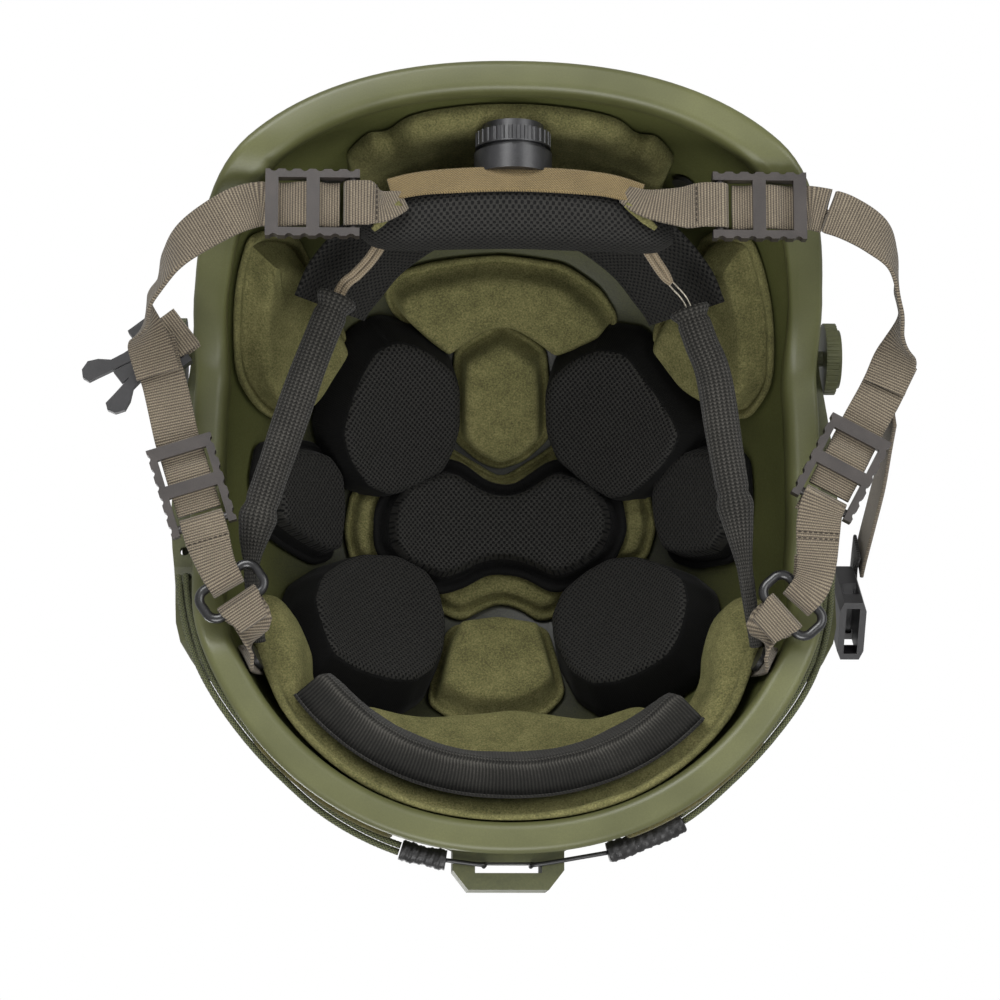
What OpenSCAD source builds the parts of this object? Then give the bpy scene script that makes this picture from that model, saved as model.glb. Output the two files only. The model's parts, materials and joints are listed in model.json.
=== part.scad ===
// Combat helmet with its liner, comfort pads, fit band and chin harness.
// +Z is up as it is worn, the front faces -Y and the wearer's left is +X.
// The origin is on the middle plane, level with the front edge of the shell.

/* [Shell] */
// Half width of the shell at brow level
shell_half_w = 118.5; // [112:0.5:126]
// Reach of the shell in front of its widest place
shell_front = 126.5; // [120:0.5:134]
// Reach of the shell behind its widest place
shell_rear = 144; // [138:0.5:152]
// Height of the crown above the brow edge
shell_h = 122; // [116:1:130]
// Thickness of the shell
shell_wall = 8.5; // [7:0.1:9.5]
// Rise of the edge over the ears
ear_rise = 26; // [20:1:32]
// Drop of the edge from the ears to the nape
nape_drop = 72; // [62:1:78]
// Wall of the rubber edging
trim_wall = 1.1; // [0.8:0.1:1.6]
// Height of the edging on the shell
trim_h = 6.5; // [5:0.5:8]

/* [Rails] */
// Thickness of a rail at its thickest
rail_t = 12; // [10:0.5:14]
// Height of a rail over the ear
rail_h = 20; // [17:0.5:22]
// Opening of the dovetail groove in a rail
groove_w = 7; // [6:0.5:8]
// Screw thread diameter of the rails and the front mount
screw_d = 4; // [3:0.5:5]

/* [Front mount] */
// Width of the front mount block at its root
mount_w = 40; // [34:1:44]
// Height of the front mount block
mount_h = 28; // [24:1:34]
// Width of the slot for the hooks
slot_w = 24; // [20:1:26]

/* [Pads] */
// Thickness of the six-sided comfort pads
hex_t = 21; // [16:1:22]
// Thickness of the centre comfort pad
centre_t = 12; // [9:1:14]
// Thickness of the impact pads in the crown
crown_t = 13; // [10:1:15]
// Thickness of the impact pads at the sides
side_t = 14; // [10:1:16]
// Thickness of the impact pad at the rear
rear_t = 18; // [14:1:20]
// Thickness of the brow liner
brow_liner_t = 8; // [6:1:9]
// Thickness of the brow pad
brow_t = 11; // [8:1:12]

/* [Fit band] */
// Diameter of the fit dial
dial_d = 27; // [24:1:30]
// Thickness of the fit dial
dial_t = 7; // [6:0.5:9]
// Turning distance of air round the dial spindle
dial_fit = 0.05; // [0.02:0.01:0.1]
// Diameter of a pulling cord
lace_d = 3; // [2.5:0.1:3.5]
// Outside diameter of a cord sleeve
sleeve_d = 13; // [11:0.5:14]

/* [Harness] */
// Width of the webbing
web_w = 16; // [14:0.5:17]
// Thickness of the webbing
web_t = 1.4; // [1.1:0.1:1.6]
// Diameter of a harness bolt
bolt_d = 5; // [4:0.5:6]
// Wire diameter of the loops that carry the front straps
loop_wire = 3.5; // [3:0.1:4]
// Diameter of a bungee strand
bungee_d = 3.2; // [2.8:0.1:3.6]
// Diameter of the ear disc
disc_d = 27; // [24:1:30]
// Thickness of the ear disc
disc_t = 6; // [5:0.5:7]

/* [Hidden] */
$fn = 32;

// Gap between a pad and what it rests on
seat = 0.3;
// Gap between the edging and the shell
trim_gap = 0.25;
// Gap of a moving piece round its pin
turn_gap = 0.3;
// Level of the widest place, from the origin towards the rear
mid_y = -5;
// Shape of the plan in front and behind, and of the dome
front_power = 2.12;
rear_power_x = 2.2;
rear_power_y = 3.8;
dome_fall = 1.9;
dome_power = 2.1;
flare = 0.06;
rim_steps = 64;
dome_steps = 13;
liner_gap = 1.1;
liner_back = shell_wall + liner_gap;

olive = "#5b6134";
velour = "#6f6f3c";
tan_web = "#84745a";
black = "#1d1c1a";
grey_black = "#34302c";

function unit(v) = v / norm(v);
function mix(a, b, t) = a + (b - a) * t;
function spow(v, p) = sign(v) * pow(abs(v), p);
function limit(v, low, high) = min(high, max(low, v));
function ease(a, b, v) = let (t = limit((v - a) / (b - a), 0, 1)) t * t * (3 - 2 * t);

// Height of the shell's edge at a place along Y
function rim_z(y) = ear_rise * ease(-62, -22, y) - nape_drop * ease(44, 112, y);

// Share of the full plan that is left at a height, for a dome h high
function shrink(z, h) = z <= 0 ? 1 - flare * z / 100
    : pow(max(0.000001, 1 - pow(z / h, dome_fall)), 1 / dome_power);

function power(e, z, h) = 2 + (e - 2) * (1 - pow(max(0, z) / h, 2));

function dome_h(off) = shell_h - off;

// Point of the skin that lies off inside the outer surface, at an angle and a height
function skin(a, z, off) =
    let (h = dome_h(off), k = shrink(z, h), rear = sin(a) >= 0)
    let (px = power(rear ? rear_power_x : front_power, z, h))
    let (py = power(rear ? rear_power_y : front_power, z, h))
    let (reach = (rear ? shell_rear : shell_front) - off)
    [(shell_half_w - off) * k * spow(cos(a), 2 / px), mid_y + reach * k * spow(sin(a), 2 / py), z];

// 1 on the skin, less inside it
function level(p, off) =
    let (h = dome_h(off), rear = p.y >= mid_y)
    p.z >= h ? 9 : let (k = shrink(p.z, h))
    let (px = power(rear ? rear_power_x : front_power, p.z, h))
    let (py = power(rear ? rear_power_y : front_power, p.z, h))
    let (reach = (rear ? shell_rear : shell_front) - off)
    pow(abs(p.x) / ((shell_half_w - off) * k), px) + pow(abs(p.y - mid_y) / (reach * k), py);

// Where the line from a start along a direction crosses the skin
function cross_skin(start, way, off, low = 0, high = 260, left = 22) =
    let (middle = (low + high) / 2)
    left == 0 ? start + way * middle
    : level(start + way * middle, off) < 1 ? cross_skin(start, way, off, middle, high, left - 1)
    : cross_skin(start, way, off, low, middle, left - 1);

eye = [0, mid_y, 0];
function on_dome(p, off) = cross_skin(eye, unit(p - eye), off);
function under_dome(x, y, off) = cross_skin([x, y, 0], [0, 0, 1], off, 0, shell_h);
function beside(side, y, z, off) = cross_skin([0, y, z], [side, 0, 0], off, 0, shell_half_w * 1.2);
function before(x, z, off) = cross_skin([x, mid_y, z], [0, -1, 0], off, 0, shell_front * 1.2);

// Closed solid from points and faces, whichever way round the faces go
function six_volumes(p, f) = [for (t = f) cross(p[t[0]], p[t[1]]) * p[t[2]]];
function total(v) = v * [for (i = v) 1];
module solid(points, faces) {
    turned = total(six_volumes(points, faces)) > 0;
    polyhedron(points, turned ? [for (f = faces) [f[2], f[1], f[0]]] : faces, convexity = 8);
}

function side_faces(rings, n, first) = [for (j = [0:rings - 2], i = [0:n - 1], h = [0, 1])
    let (a = first + j * n, k = (i + 1) % n)
    h == 0 ? [a + i, a + n + i, a + n + k] : [a + i, a + n + k, a + k]];

// Skin over equal rings, shut by a point at each end
module ringed(rings, start, end) {
    n = len(rings[0]);
    m = len(rings);
    last = m * n + 1;
    points = concat([start], [for (r = rings, p = r) p], [end]);
    faces = concat([for (i = [0:n - 1]) [0, 1 + i, 1 + (i + 1) % n]], side_faces(m, n, 1),
        [for (i = [0:n - 1]) [last, last - n + (i + 1) % n, last - n + i]]);
    solid(points, faces);
}

// Skin over equal rings whose last ring joins the first
module looped(rings) {
    n = len(rings[0]);
    m = len(rings);
    faces = [for (j = [0:m - 1], i = [0:n - 1], h = [0, 1])
        let (a = j * n, b = ((j + 1) % m) * n, k = (i + 1) % n)
        h == 0 ? [a + i, b + i, b + k] : [a + i, b + k, a + k]];
    solid([for (r = rings, p = r) p], faces);
}

// Smooth run through rows of numbers
function bend(a, b, c, d, t) = 0.5 * (2 * b + (c - a) * t + (2 * a - 5 * b + 4 * c - d) * t * t
    + (3 * b - a - 3 * c + d) * t * t * t);
function run(rows, steps) = let (n = len(rows) - 1) concat([for (i = [0:n - 1], s = [0:steps - 1])
    bend(rows[max(0, i - 1)], rows[i], rows[i + 1], rows[min(n, i + 2)], s / steps)], [rows[n]]);

function centre(points) = total_points(points) / len(points);
function total_points(points) = [for (i = [0:2]) total([for (p = points) p[i]])];

// Corners of an outline cut off in equal steps, which rounds it
function soften(points, times = 1) = times == 0 ? points
    : let (n = len(points)) soften([for (i = [0:n - 1], t = [0.25, 0.75])
        mix(points[i], points[(i + 1) % n], t)], times - 1);

// Sweep of a flat profile along rows of x, y, z and the way its width lies
function profile_rings(rows, profile) = let (n = len(rows) - 1) [for (i = [0:n])
    let (at = [rows[i][0], rows[i][1], rows[i][2]])
    let (wide = [rows[i][3], rows[i][4], rows[i][5]])
    let (a = rows[max(0, i - 1)], b = rows[min(n, i + 1)])
    let (way = unit([b[0] - a[0], b[1] - a[1], b[2] - a[2]]))
    let (flat = unit(cross(way, wide)), across = cross(flat, way))
    [for (p = profile) at + across * p.x + flat * p.y]];
module sweep(rows, profile) {
    n = len(rows) - 1;
    rings = profile_rings(rows, profile);
    ringed(rings, centre(rings[0]), centre(rings[n]));
}
function round_profile(r, sides) = [for (i = [0:sides - 1]) r * [cos(i * 360 / sides), sin(i * 360 / sides)]];
function band_profile(w, t) = [[-w / 2, -t / 2], [w / 2, -t / 2], [w / 2, t / 2], [-w / 2, t / 2]];
module webbing(rows, steps = 4, w = web_w) {
    sweep(run(rows, steps), band_profile(w, web_t));
}

// Pad on the skin: its outline stays at the back and draws in towards its middle at the face
module dome_pad(outline, back, thick, crown = 1.1) {
    middle = centre(outline);
    shares = [[0.6, 0], [1, 0], [1, 0.45], [0.97, 0.75], [0.86, 0.94], [0.6, crown - 0.04]];
    rings = [for (s = shares) [for (p = outline)
        on_dome(mix(middle, p, s[0]), back + thick * s[1])]];
    ringed(rings, on_dome(middle, back), on_dome(middle, back + thick * crown));
}
function seats(outline) = [for (p = outline) under_dome(p.x, p.y, liner_back)];
module crown_pad(outline, back, thick, times = 2, crown = 1.1) {
    dome_pad(soften(seats(outline), times), back, thick, crown);
}

// Band along the skin between two angles; each row holds an angle, its low and high edge
module dome_band(rows, back, thick, steps = 4) {
    stations = run(rows, steps);
    n = len(stations) - 1;
    rings = [for (i = [0:n])
        let (s = stations[i], end = sqrt(1 - pow(abs(2 * i / n - 1), 8)))
        let (t = thick * mix(0.35, 1, end), middle = (s[1] + s[2]) / 2)
        let (low = mix(middle, s[1], mix(0.7, 1, end)), high = mix(middle, s[2], mix(0.7, 1, end)))
        [for (q = [[0, 0], [0.5, 0], [1, 0], [1, 0.6], [0.85, 0.94], [0.5, 1.05], [0.15, 0.94], [0, 0.6]])
            skin(s[0], mix(low, high, q[0]), back + t * q[1])]];
    ringed(rings, centre(rings[0]), centre(rings[n]));
}

function rim_point(a, off, up = 0) = skin(a, rim_z(skin(a, 0, limit(off, 0, shell_wall)).y) + up, off);
// Angles that space the points evenly round the squarer rear half too
rim_angles = [for (i = [0:rim_steps - 1]) let (t = 360 * i / rim_steps)
    sin(t) <= 0 ? t : let (s = asin(pow(sin(t), rear_power_y / 2))) cos(t) >= 0 ? s : 180 - s];
// The first ring is the edge, the next lies just above the edging, and the rest close in to the crown
function dome_ring(j, off) = j < 2 ? [for (a = rim_angles) rim_point(a, off, j * (trim_h + 2))]
    : [for (a = rim_angles)
        skin(a, mix(rim_z(skin(a, 0, off).y), dome_h(off), sin(90 * (j - 1) / (dome_steps - 1))), off)];
function crown_point(off) = [0, mid_y, dome_h(off)];

// Everything inside the skin at off
module dome_body(off) {
    rings = [for (j = [dome_steps - 1:-1:0]) dome_ring(j, off)];
    ringed(rings, crown_point(off), [0, mid_y, -nape_drop]);
}

/* Shell and what is fixed on its outside */
rail_screw_y = [-38, 18, 72];
mount_screws = [[-27, 52], [27, 52], [0, 56]];
hole_gap = 0.1;
shank_in = shell_wall - 1;

module along_x(side, y, z, off, d, length) {
    at = beside(side, y, z, off);
    translate(at) rotate([0, side * 90, 0]) cylinder(d = d, h = length);
}
module along_front(x, z, off, d, length) {
    at = before(x, z, off);
    translate(at) rotate([90, 0, 0]) cylinder(d = d, h = length);
}

module shell() color(olive) difference() {
    ringed(concat([for (j = [dome_steps - 1:-1:0]) dome_ring(j, 0)],
        [for (j = [0:dome_steps - 1]) dome_ring(j, shell_wall)]),
        crown_point(0), crown_point(shell_wall));
    for (side = [-1, 1], y = rail_screw_y)
        along_x(side, y, rail_middle(y), 2 * shell_wall, screw_d + 2 * hole_gap, 4 * shell_wall);
    for (m = mount_screws)
        along_front(m.x, m.y, 2 * shell_wall, screw_d + 2 * hole_gap, 4 * shell_wall);
    for (b = bolt_at)
        along_ray(b, 2 * shell_wall, bolt_d + 2 * hole_gap, 4 * shell_wall);
}

module edge_trim() color(black) {
    out = -trim_gap;
    in = shell_wall + trim_gap;
    section = [[out, trim_h], [out, -trim_gap], [in, -trim_gap], [in, trim_h], [in + trim_wall, trim_h],
        [in + trim_wall, -0.4], [in, -trim_gap - trim_wall], [out, -trim_gap - trim_wall],
        [out - trim_wall, -0.4], [out - trim_wall, trim_h]];
    looped([for (a = rim_angles) [for (q = section) rim_point(a, q.x, q.y)]]);
}

rail_front = -70;
rail_rear = 106;
rail_steps = 24;
groove_flare = 1.2;
groove_depth = 2.8;
function rail_foot(y) = trim_h + 1.8 + ear_rise * ease(-74, -26, y) - 31 * ease(46, 116, y);
function rail_high(y) = rail_h * (0.6 + 0.4 * ease(-70, -48, y) - 0.4 * ease(62, 106, y));
function rail_middle(y) = rail_foot(y) + rail_high(y) / 2;
function rail_thick(y) = rail_t * (0.5 + 0.5 * ease(-72, -50, y) - 0.4 * ease(-5, 60, y)
    - 0.3 * ease(70, 106, y) * 0.9);
function rail_section(side, y) =
    let (foot = rail_foot(y), high = rail_high(y), t = rail_thick(y), g = groove_w / 2)
    let (m = foot + high / 2, floor = t - min(groove_depth, 0.5 * t))
    concat([for (q = [0, 1 / 3, 2 / 3, 1]) beside(side, y, foot + high * q, -seat)],
    [for (q = [[foot + high - 1, t - 1.2], [m + g, t], [m + g + groove_flare, floor],
        [m - g - groove_flare, floor], [m - g, t], [foot + 1, t - 1.2]])
        beside(side, y, q.x, -seat) + [side * q.y, 0, 0]]);
screw_head_d = 6.4;
screw_head_t = 1.6;
// Where a rail screw's head begins, on the floor of the groove
function head_floor(side, y) =
    side * (max(abs(rail_section(side, y)[6].x), abs(rail_section(side, y)[7].x)) + seat);
rail_notch = [5, 4];
cord_hole_d = 3.4;

module rail(side) color(olive) difference() {
    rings = [for (i = [0:rail_steps]) rail_section(side, mix(rail_front, rail_rear, i / rail_steps))];
    ringed(rings, centre(rings[0]), centre(rings[rail_steps]));
    for (y = rail_screw_y)
    {
        along_x(side, y, rail_middle(y), shell_wall, screw_d + 2 * hole_gap, 4 * shell_wall);
        translate([head_floor(side, y) - side * hole_gap, y, rail_middle(y)]) rotate([0, side * 90, 0])
            cylinder(d = screw_head_d + 2 * seat, h = 2 * rail_t);
    }
    translate([side * (disc_back(side) - pin_depth - 0.5), disc_y, disc_z])
        rotate([0, side * 90, 0]) cylinder(d = disc_pin_d + 2 * dial_fit, h = 4 * pin_depth);
    for (y = [71, 84])
        translate(beside(side, y, rail_foot(y), -seat) - [0, rail_notch.x / 2, rail_notch.y])
            translate([side > 0 ? -2 : 2 - 3 * rail_t, 0, 0])
                cube([3 * rail_t, rail_notch.x, 2 * rail_notch.y]);
    for (y = [-30, -20])
        translate(beside(side, y, rail_foot(y), -seat) + [side * rail_t / 2, 0, -2])
            cylinder(d = cord_hole_d, h = 8);
}
module rail_left() rail(1);
module rail_right() rail(-1);

module screw(d, head_d, head_t, length) {
    cylinder(d = d, h = length + head_t);
    translate([0, 0, length]) cylinder(d = head_d, h = head_t);
}
module rail_screws() color(black) for (side = [-1, 1], y = rail_screw_y) {
    inner = beside(side, y, rail_middle(y), shank_in);
    floor = head_floor(side, y);
    translate(inner) rotate([0, side * 90, 0])
        screw(screw_d, screw_head_d, screw_head_t, abs(floor - inner.x) + seat);
}

plate_t = 4.5;
block_front = -145;
block_root = -131;
slot_y = [-139, -135.1];
block_low = 14;
module front_shroud() color(olive) {
    outline = [[-30, 62], [30, 62], [37, 50], [34, 36], [mount_w / 2, 26], [mount_w / 2, block_low],
        [-mount_w / 2, block_low], [-mount_w / 2, 26], [-34, 36], [-37, 50]];
    flat = mount_w / 2;
    difference() {
        union() {
            dome_pad([for (q = soften(outline, 1)) before(q.x, q.y, -seat)], -seat, -plate_t, 1);
            translate([0, 0, block_low]) linear_extrude(mount_h) polygon([[-flat, block_root + 6],
                [-flat, block_front + 7], [-flat + 5.5, block_front], [flat - 5.5, block_front],
                [flat, block_front + 7], [flat, block_root + 6]]);
        }
        dome_body(-seat + 0.01);
        translate([-slot_w / 2, slot_y[0], block_low - 1]) cube([slot_w, slot_y[1] - slot_y[0], mount_h + 2]);
        for (m = mount_screws) {
            along_front(m.x, m.y, shell_wall, screw_d + 2 * hole_gap, 5 * shell_wall);
            along_front(m.x, m.y, -seat - plate_t + 1, screw_head_d + 1, 5 * shell_wall);
        }
    }
}
module shroud_screws() color(black) for (m = mount_screws) {
    inner = before(m.x, m.y, shank_in);
    floor = before(m.x, m.y, -seat - plate_t + 1).y;
    translate(inner) rotate([90, 0, 0]) screw(screw_d, screw_head_d, screw_head_t, inner.y - floor + seat);
}

// Angles of the shrink sleeves on the skin, the front end last
sleeve_from = [-73, -119];
sleeve_to = [-80.5, -105.5];
rail_angle = [-32, -148];
cord_level = 12;
strand_off = [-3.7, -7.2];
module bungee(k) color(olive) for (off = strand_off) {
    end = sleeve_from[k] + (k == 0 ? 0.2 : -0.2);
    rows = [for (i = [0:11]) let (a = mix(rail_angle[k], end, i / 11))
        concat(skin(a, cord_level, off), [0, 0, 1])];
    sweep(rows, round_profile(bungee_d / 2, 8));
}
module bungee_left() bungee(0);
module bungee_right() bungee(1);
module bungee_sleeves() color(black) for (k = [0, 1]) {
    rows = [for (i = [0:6]) concat(skin(mix(sleeve_from[k], sleeve_to[k], i / 6), cord_level, -5.5), [0, 0, 1])];
    sweep(rows, [for (i = [0:11]) [3.5 * cos(30 * i), 4.3 * sin(30 * i)]]);
}
hook_d = 1.6;
hook_y = slot_y[1] - seat - hook_d / 2;
module wire_hooks() color(black) for (k = [0, 1]) {
    side = k == 0 ? 1 : -1;
    start = skin(sleeve_to[k] + (k == 0 ? -0.15 : 0.15), cord_level, -5.5);
    reach = [10 * side, hook_y, block_low - 2];
    rows = [start, mix(start, reach, 0.5), mix(start, reach, 0.85), reach + [-side, 0, 0.5],
        reach + [-side * 1.5, 0, 3], reach + [-side * 1.5, 0, 8], reach + [-side * 1.5, 0, 14]];
    sweep([for (p = run(rows, 3)) concat(p, [0, 1, 0])], round_profile(hook_d / 2, 8));
}

patch_t = 1.6;
patch_gap = 0.8;
module loop_patches() color(velour) for (a = [-56, -124]) {
    outline = [[-14, 22], [14, 22], [13, 44], [9, 58], [-9, 58], [-13, 44]];
    dome_pad([for (q = soften(outline, 1)) skin(a + q.x, q.y, -patch_gap)], -patch_gap, -patch_t, 1);
}

/* Impact liner */
module rear_liner_pad() color(velour)
    dome_band([[61, -8, 32], [75, -11, 40], [90, -12, 42], [105, -11, 40], [119, -8, 32]], liner_back, rear_t);
module side_liner(outline) color(velour)
    dome_pad(soften([for (p = outline) on_dome(p, liner_back)], 2), liner_back, side_t);
module side_liner_left() side_liner([[99, 92, -18], [83, 100, 20], [86, 57, 61], [89, 36, 63],
    [96, 42, 50], [102, 52, 37], [103, 70, 15]]);
module side_liner_right() side_liner([[-98, 88, -16], [-82, 99, 22], [-86, 58, 61], [-97, 36, 50],
    [-101, 42, 42], [-102, 52, 37], [-102, 72, 14]]);

// The anchor webbing and the brow liner pass inside the edging
brow_back = shell_wall + trim_gap + trim_wall + 2 * seat;
anchor_off = brow_back + web_t / 2;
module brow_liner() color(velour)
    dome_band([[-145, 18, 32], [-132, 10, 40], [-115, 4, 48], [-90, 2, 50], [-65, 4, 48], [-48, 10, 38],
        [-35, 18, 32]], brow_back, brow_liner_t);
module brow_pad() color(black)
    dome_band([[-128, 10, 25], [-110, 4, 28], [-90, 2, 29], [-68, 4, 28], [-44, 10, 25]],
        brow_back + brow_liner_t * 1.1, brow_t);

module crown_liner_rear() color(velour) crown_pad([[48, 91], [42, 97], [29, 103], [4, 105], [-26, 102],
    [-42, 94], [-48, 89], [-30, 81], [-20, 79], [0, 88], [19, 79], [30, 81]], liner_back, crown_t - 1, 1);
module crown_liner_centre() color(velour) crown_pad([[0, 84.5], [-18, 73], [-18.5, 42], [-1, 28],
    [17.5, 42], [18, 73]], liner_back, crown_t + 3);
module crown_liner_front() color(velour) crown_pad([[25, -48], [20, -43.5], [3, -42], [-18, -43.5],
    [-22, -48], [-21, -63], [-24, -74], [-24, -83], [-16, -92], [16, -92], [28, -80], [25.5, -65]],
    liner_back, crown_t + 1, 1);
base_t = 8;
module crown_liner_base() color(velour) crown_pad([[57, 8], [52, 13], [44, 19], [22, 36], [12, 27],
    [0, 24], [-12, 27], [-24, 34], [-45, 15], [-50, 10], [-57, 6], [-57, -8], [-50, -18], [-29, -32],
    [-23, -39], [0, -33], [22, -38], [28, -30], [50, -17], [57, -10]], liner_back, base_t, 1, 1);

/* Comfort pads */
module comfort_pad_rear_left() color(black) crown_pad([[62, 71], [50, 82], [25, 76], [21, 68], [22, 41],
    [48, 17.5], [54, 16], [63, 19], [74, 33]], liner_back, hex_t);
module comfort_pad_rear_right() color(black) crown_pad([[-25, 73], [-51, 80], [-55, 77], [-66, 62],
    [-79, 35], [-64, 14], [-52, 14], [-46, 18], [-24, 38], [-23, 63]], liner_back, hex_t);
module comfort_pad_front_left() color(black) crown_pad([[83, -27], [76, -21], [60, -17], [54, -17],
    [32, -38], [28, -51], [29, -66], [37, -75], [45, -76], [76, -72], [81, -53]], liner_back, hex_t);
module comfort_pad_front_right() color(black) crown_pad([[-29, -36], [-55, -18], [-67, -18], [-81, -25],
    [-79, -58], [-71, -67], [-45, -77], [-36, -79], [-26, -71], [-24, -63], [-25, -49]],
    liner_back, hex_t);
centre_back = liner_back + base_t + liner_gap + seat;
flange_t = 2;
module comfort_pad_centre() color(black) {
    flange = [[50, 8], [41, 16.5], [24, 31], [17, 31], [2, 19], [-6, 19], [-20, 29], [-28, 27], [-48, 9],
        [-52, -9], [-48, -14], [-28, -27], [-19, -27], [-3, -15], [2, -15], [21, -28], [29, -27], [50, -15]];
    raised = [[42, 7], [38, 13], [22, 23], [17, 23], [4, 14], [-7, 14], [-19, 22], [-25, 21], [-41, 9],
        [-43, -6], [-41, -10], [-26, -20], [-19, -20], [-4, -10], [3, -10], [20, -21], [26, -21], [42, -9]];
    crown_pad(flange, centre_back, flange_t, 1, 1);
    crown_pad(raised, centre_back + 0.01, centre_t, 1, 1.05);
}
comfort_side_t = 13;
module comfort_pad_side_left() color(black) crown_pad([[82, 28], [73, 23], [70, 13], [69, -2], [69, -13],
    [86, -9], [94, 3], [94, 23]], liner_back, comfort_side_t);
module comfort_pad_side_right() color(black) crown_pad([[-74, 20], [-82, 30], [-89, 30], [-92, 17],
    [-93, -3], [-90, -13], [-69, -13], [-69, 1]], liner_back, comfort_side_t);

/* Fit band */
dial_at = [0, 115, -28];
base_low = 8.5;
spindle_d = 6;
module along_y(d, length) rotate([-90, 0, 0]) cylinder(d = d, h = length);

module dial() color(black) translate(dial_at) {
    step = 3;
    difference() {
        union() {
            along_y(dial_d - 3, 1.5);
            translate([0, 1.5, 0]) along_y(dial_d, dial_t - 1.5);
            translate([0, dial_t, 0]) along_y(dial_d - 5, step);
            translate([0, -6, 0]) along_y(spindle_d, 7);
        }
        for (i = [0:29])
            rotate([0, i * 12, 0]) translate([dial_d / 2 + 0.4, 2, 0]) along_y(1.8, dial_t);
    }
}
module dial_base() color(black) difference() {
    union() {
        translate(dial_at - [0, base_low, 0]) along_y(dial_d + 1, base_low - turn_gap);
        translate([-24, band_y + band_t / 2 + seat, dial_at.z + 8]) cube([48, 1.4, 27]);
        translate(dial_at + [-7, -base_low + 2, 8]) cube([14, base_low - 2 - turn_gap, 7]);
    }
    translate(dial_at - [0, base_low - 1.5, 0]) along_y(spindle_d + 2 * dial_fit, base_low);
}

// Cushion across the nape, thick in the middle and slim at its ends
nape_at = [0, 94, -29];
module nape_pad() color(black) {
    rows = [[57, 92], [48, 94], [30, 95], [0, 95.5], [-30, 95], [-46, 94], [-56, 92]];
    stations = run([for (r = rows) [r.x, r.y, nape_at.z, 0, 1, 0]], 4);
    n = len(stations) - 1;
    rings = [for (i = [0:n]) let (s = stations[i], e = sqrt(1 - pow(abs(2 * i / n - 1), 6)))
        [for (a = [0:22.5:337.5]) [s[0], s[1], s[2]]
            + mix(0.55, 1, e) * [0, 10.6 * spow(cos(a), 0.75), 11.5 * spow(sin(a), 0.75)]]];
    ringed(rings, centre(rings[0]), centre(rings[n]));
}

/* Slides and webbing */
lock = [33, 24, 5];
third_bar_d = 3;
bar_top = 0.6;
web_in_lock = bar_top + turn_gap + web_t / 2;
third_x = 2.5;
// The way from a slide's sewn bar to its free end, as an angle in plan
rear_locks = [[57, 91, -46, 0], [-72, 91.5, -46, 180]];
front_locks = [[109.8, -16.3, -8, 72.4], [-112.4, -7.4, -8, 118]];

module ladder_lock(place) color(grey_black)
    translate([place[0], place[1], place[2]]) rotate([0, 0, place[3]]) {
    inner = web_w / 2 + 1;
    cut = 5.4;
    for (side = [-1, 1]) difference() {
        translate([-third_x, side > 0 ? inner : -lock.y / 2, -lock.z / 2])
            cube([lock.x, lock.y / 2 - inner, lock.z]);
        for (i = [0:5])
            translate([cut * i - third_x + 3, side * (lock.y / 2 + 0.9), -lock.z]) cylinder(d = 3.4, h = 2 * lock.z);
    }
    translate([0, -inner - 1, 0]) along_y(third_bar_d, 2 * inner + 2);
    for (x = [11.5, lock.x - third_x - 4.6])
        translate([x, -inner - 1, -lock.z / 2]) cube([4.6, 2 * inner + 2, lock.z / 2 + bar_top]);
}
module ladder_lock_rear_left() ladder_lock(rear_locks[0]);
module ladder_lock_rear_right() ladder_lock(rear_locks[1]);
module ladder_lock_front_left() ladder_lock(front_locks[0]);
module ladder_lock_front_right() ladder_lock(front_locks[1]);

function lock_way(place) = [cos(place[3]), sin(place[3]), 0];
function lock_side(place) = [-sin(place[3]), cos(place[3]), 0];
function in_lock(place, x, z = web_in_lock) =
    concat([place[0], place[1], place[2] + z] + lock_way(place) * x, lock_side(place));

// Half turn of webbing round a bar: it starts on the side of from and goes round by way of far
function half_turn(at, far, from, r, wide, steps = 6) = [for (i = [0:steps]) let (t = 180 * i / steps)
    concat(at + r * (cos(t) * from + sin(t) * far), wide)];
down = [0, 0, -1];
up = [0, 0, 1];
tight_turn = third_bar_d / 2 + turn_gap + web_t / 2;

module nape_cover() color(tan_web) {
    left = rear_locks[0];
    right = rear_locks[1];
    wide = [0, 1, 0];
    rows = concat([concat([left[0] - 9, left[1], left[2] + tight_turn], wide)],
        half_turn([left[0], left[1], left[2]], [1, 0, 0], up, tight_turn, wide),
        run([[51, 92, -47.5, 0, 1, 0], [40, 96, -44.5, 0, 1, 0], [22, 101, -42.5, 0, 1, 0],
            [0, 103, -43, 0, 1, 0], [-22, 101, -42.5, 0, 1, 0], [-42, 96, -44.5, 0, 1, 0],
            [-61, 93, -47.5, 0, 1, 0]], 3),
        half_turn([right[0], right[1], right[2]], [-1, 0, 0], down, tight_turn, wide),
        [concat([right[0] + 10, right[1], right[2] + tight_turn], wide)]);
    sweep(rows, band_profile(web_w, web_t));
}

band_y = 106;
band_h = 22;
band_t = 1.6;
module occipital_band() color(black) {
    rows = [[62, 76, 18], [55, 87, 13], [44, 97, 6], [25, 105, 1], [0, band_y, 0],
        [-25, 105, 1], [-44, 97, 6], [-56, 86, 13], [-64, 74, 18]];
    sweep(run([for (r = rows) concat(r, [0, 0, 1])], 3), band_profile(band_h, band_t));
}

// Pulling cords, from the nape cushion's ends into their sleeves
lace_routes = [[[46.4, 84.4, -20.6], [51, 79, -14], [56, 75, -8], [61, 71, -4], [67, 57, -3], [73, 42, -2]],
    [[-47.4, 84.4, -20.6], [-53, 78, -14], [-58, 73, -8], [-64, 67, -4], [-68, 56, -3], [-73, 44, -2]]];
module lace_cords() color(tan_web) for (route = lace_routes)
    sweep(run([for (p = route) concat(p, [0, 0, 1])], 3), round_profile(lace_d / 2, 8));

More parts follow.
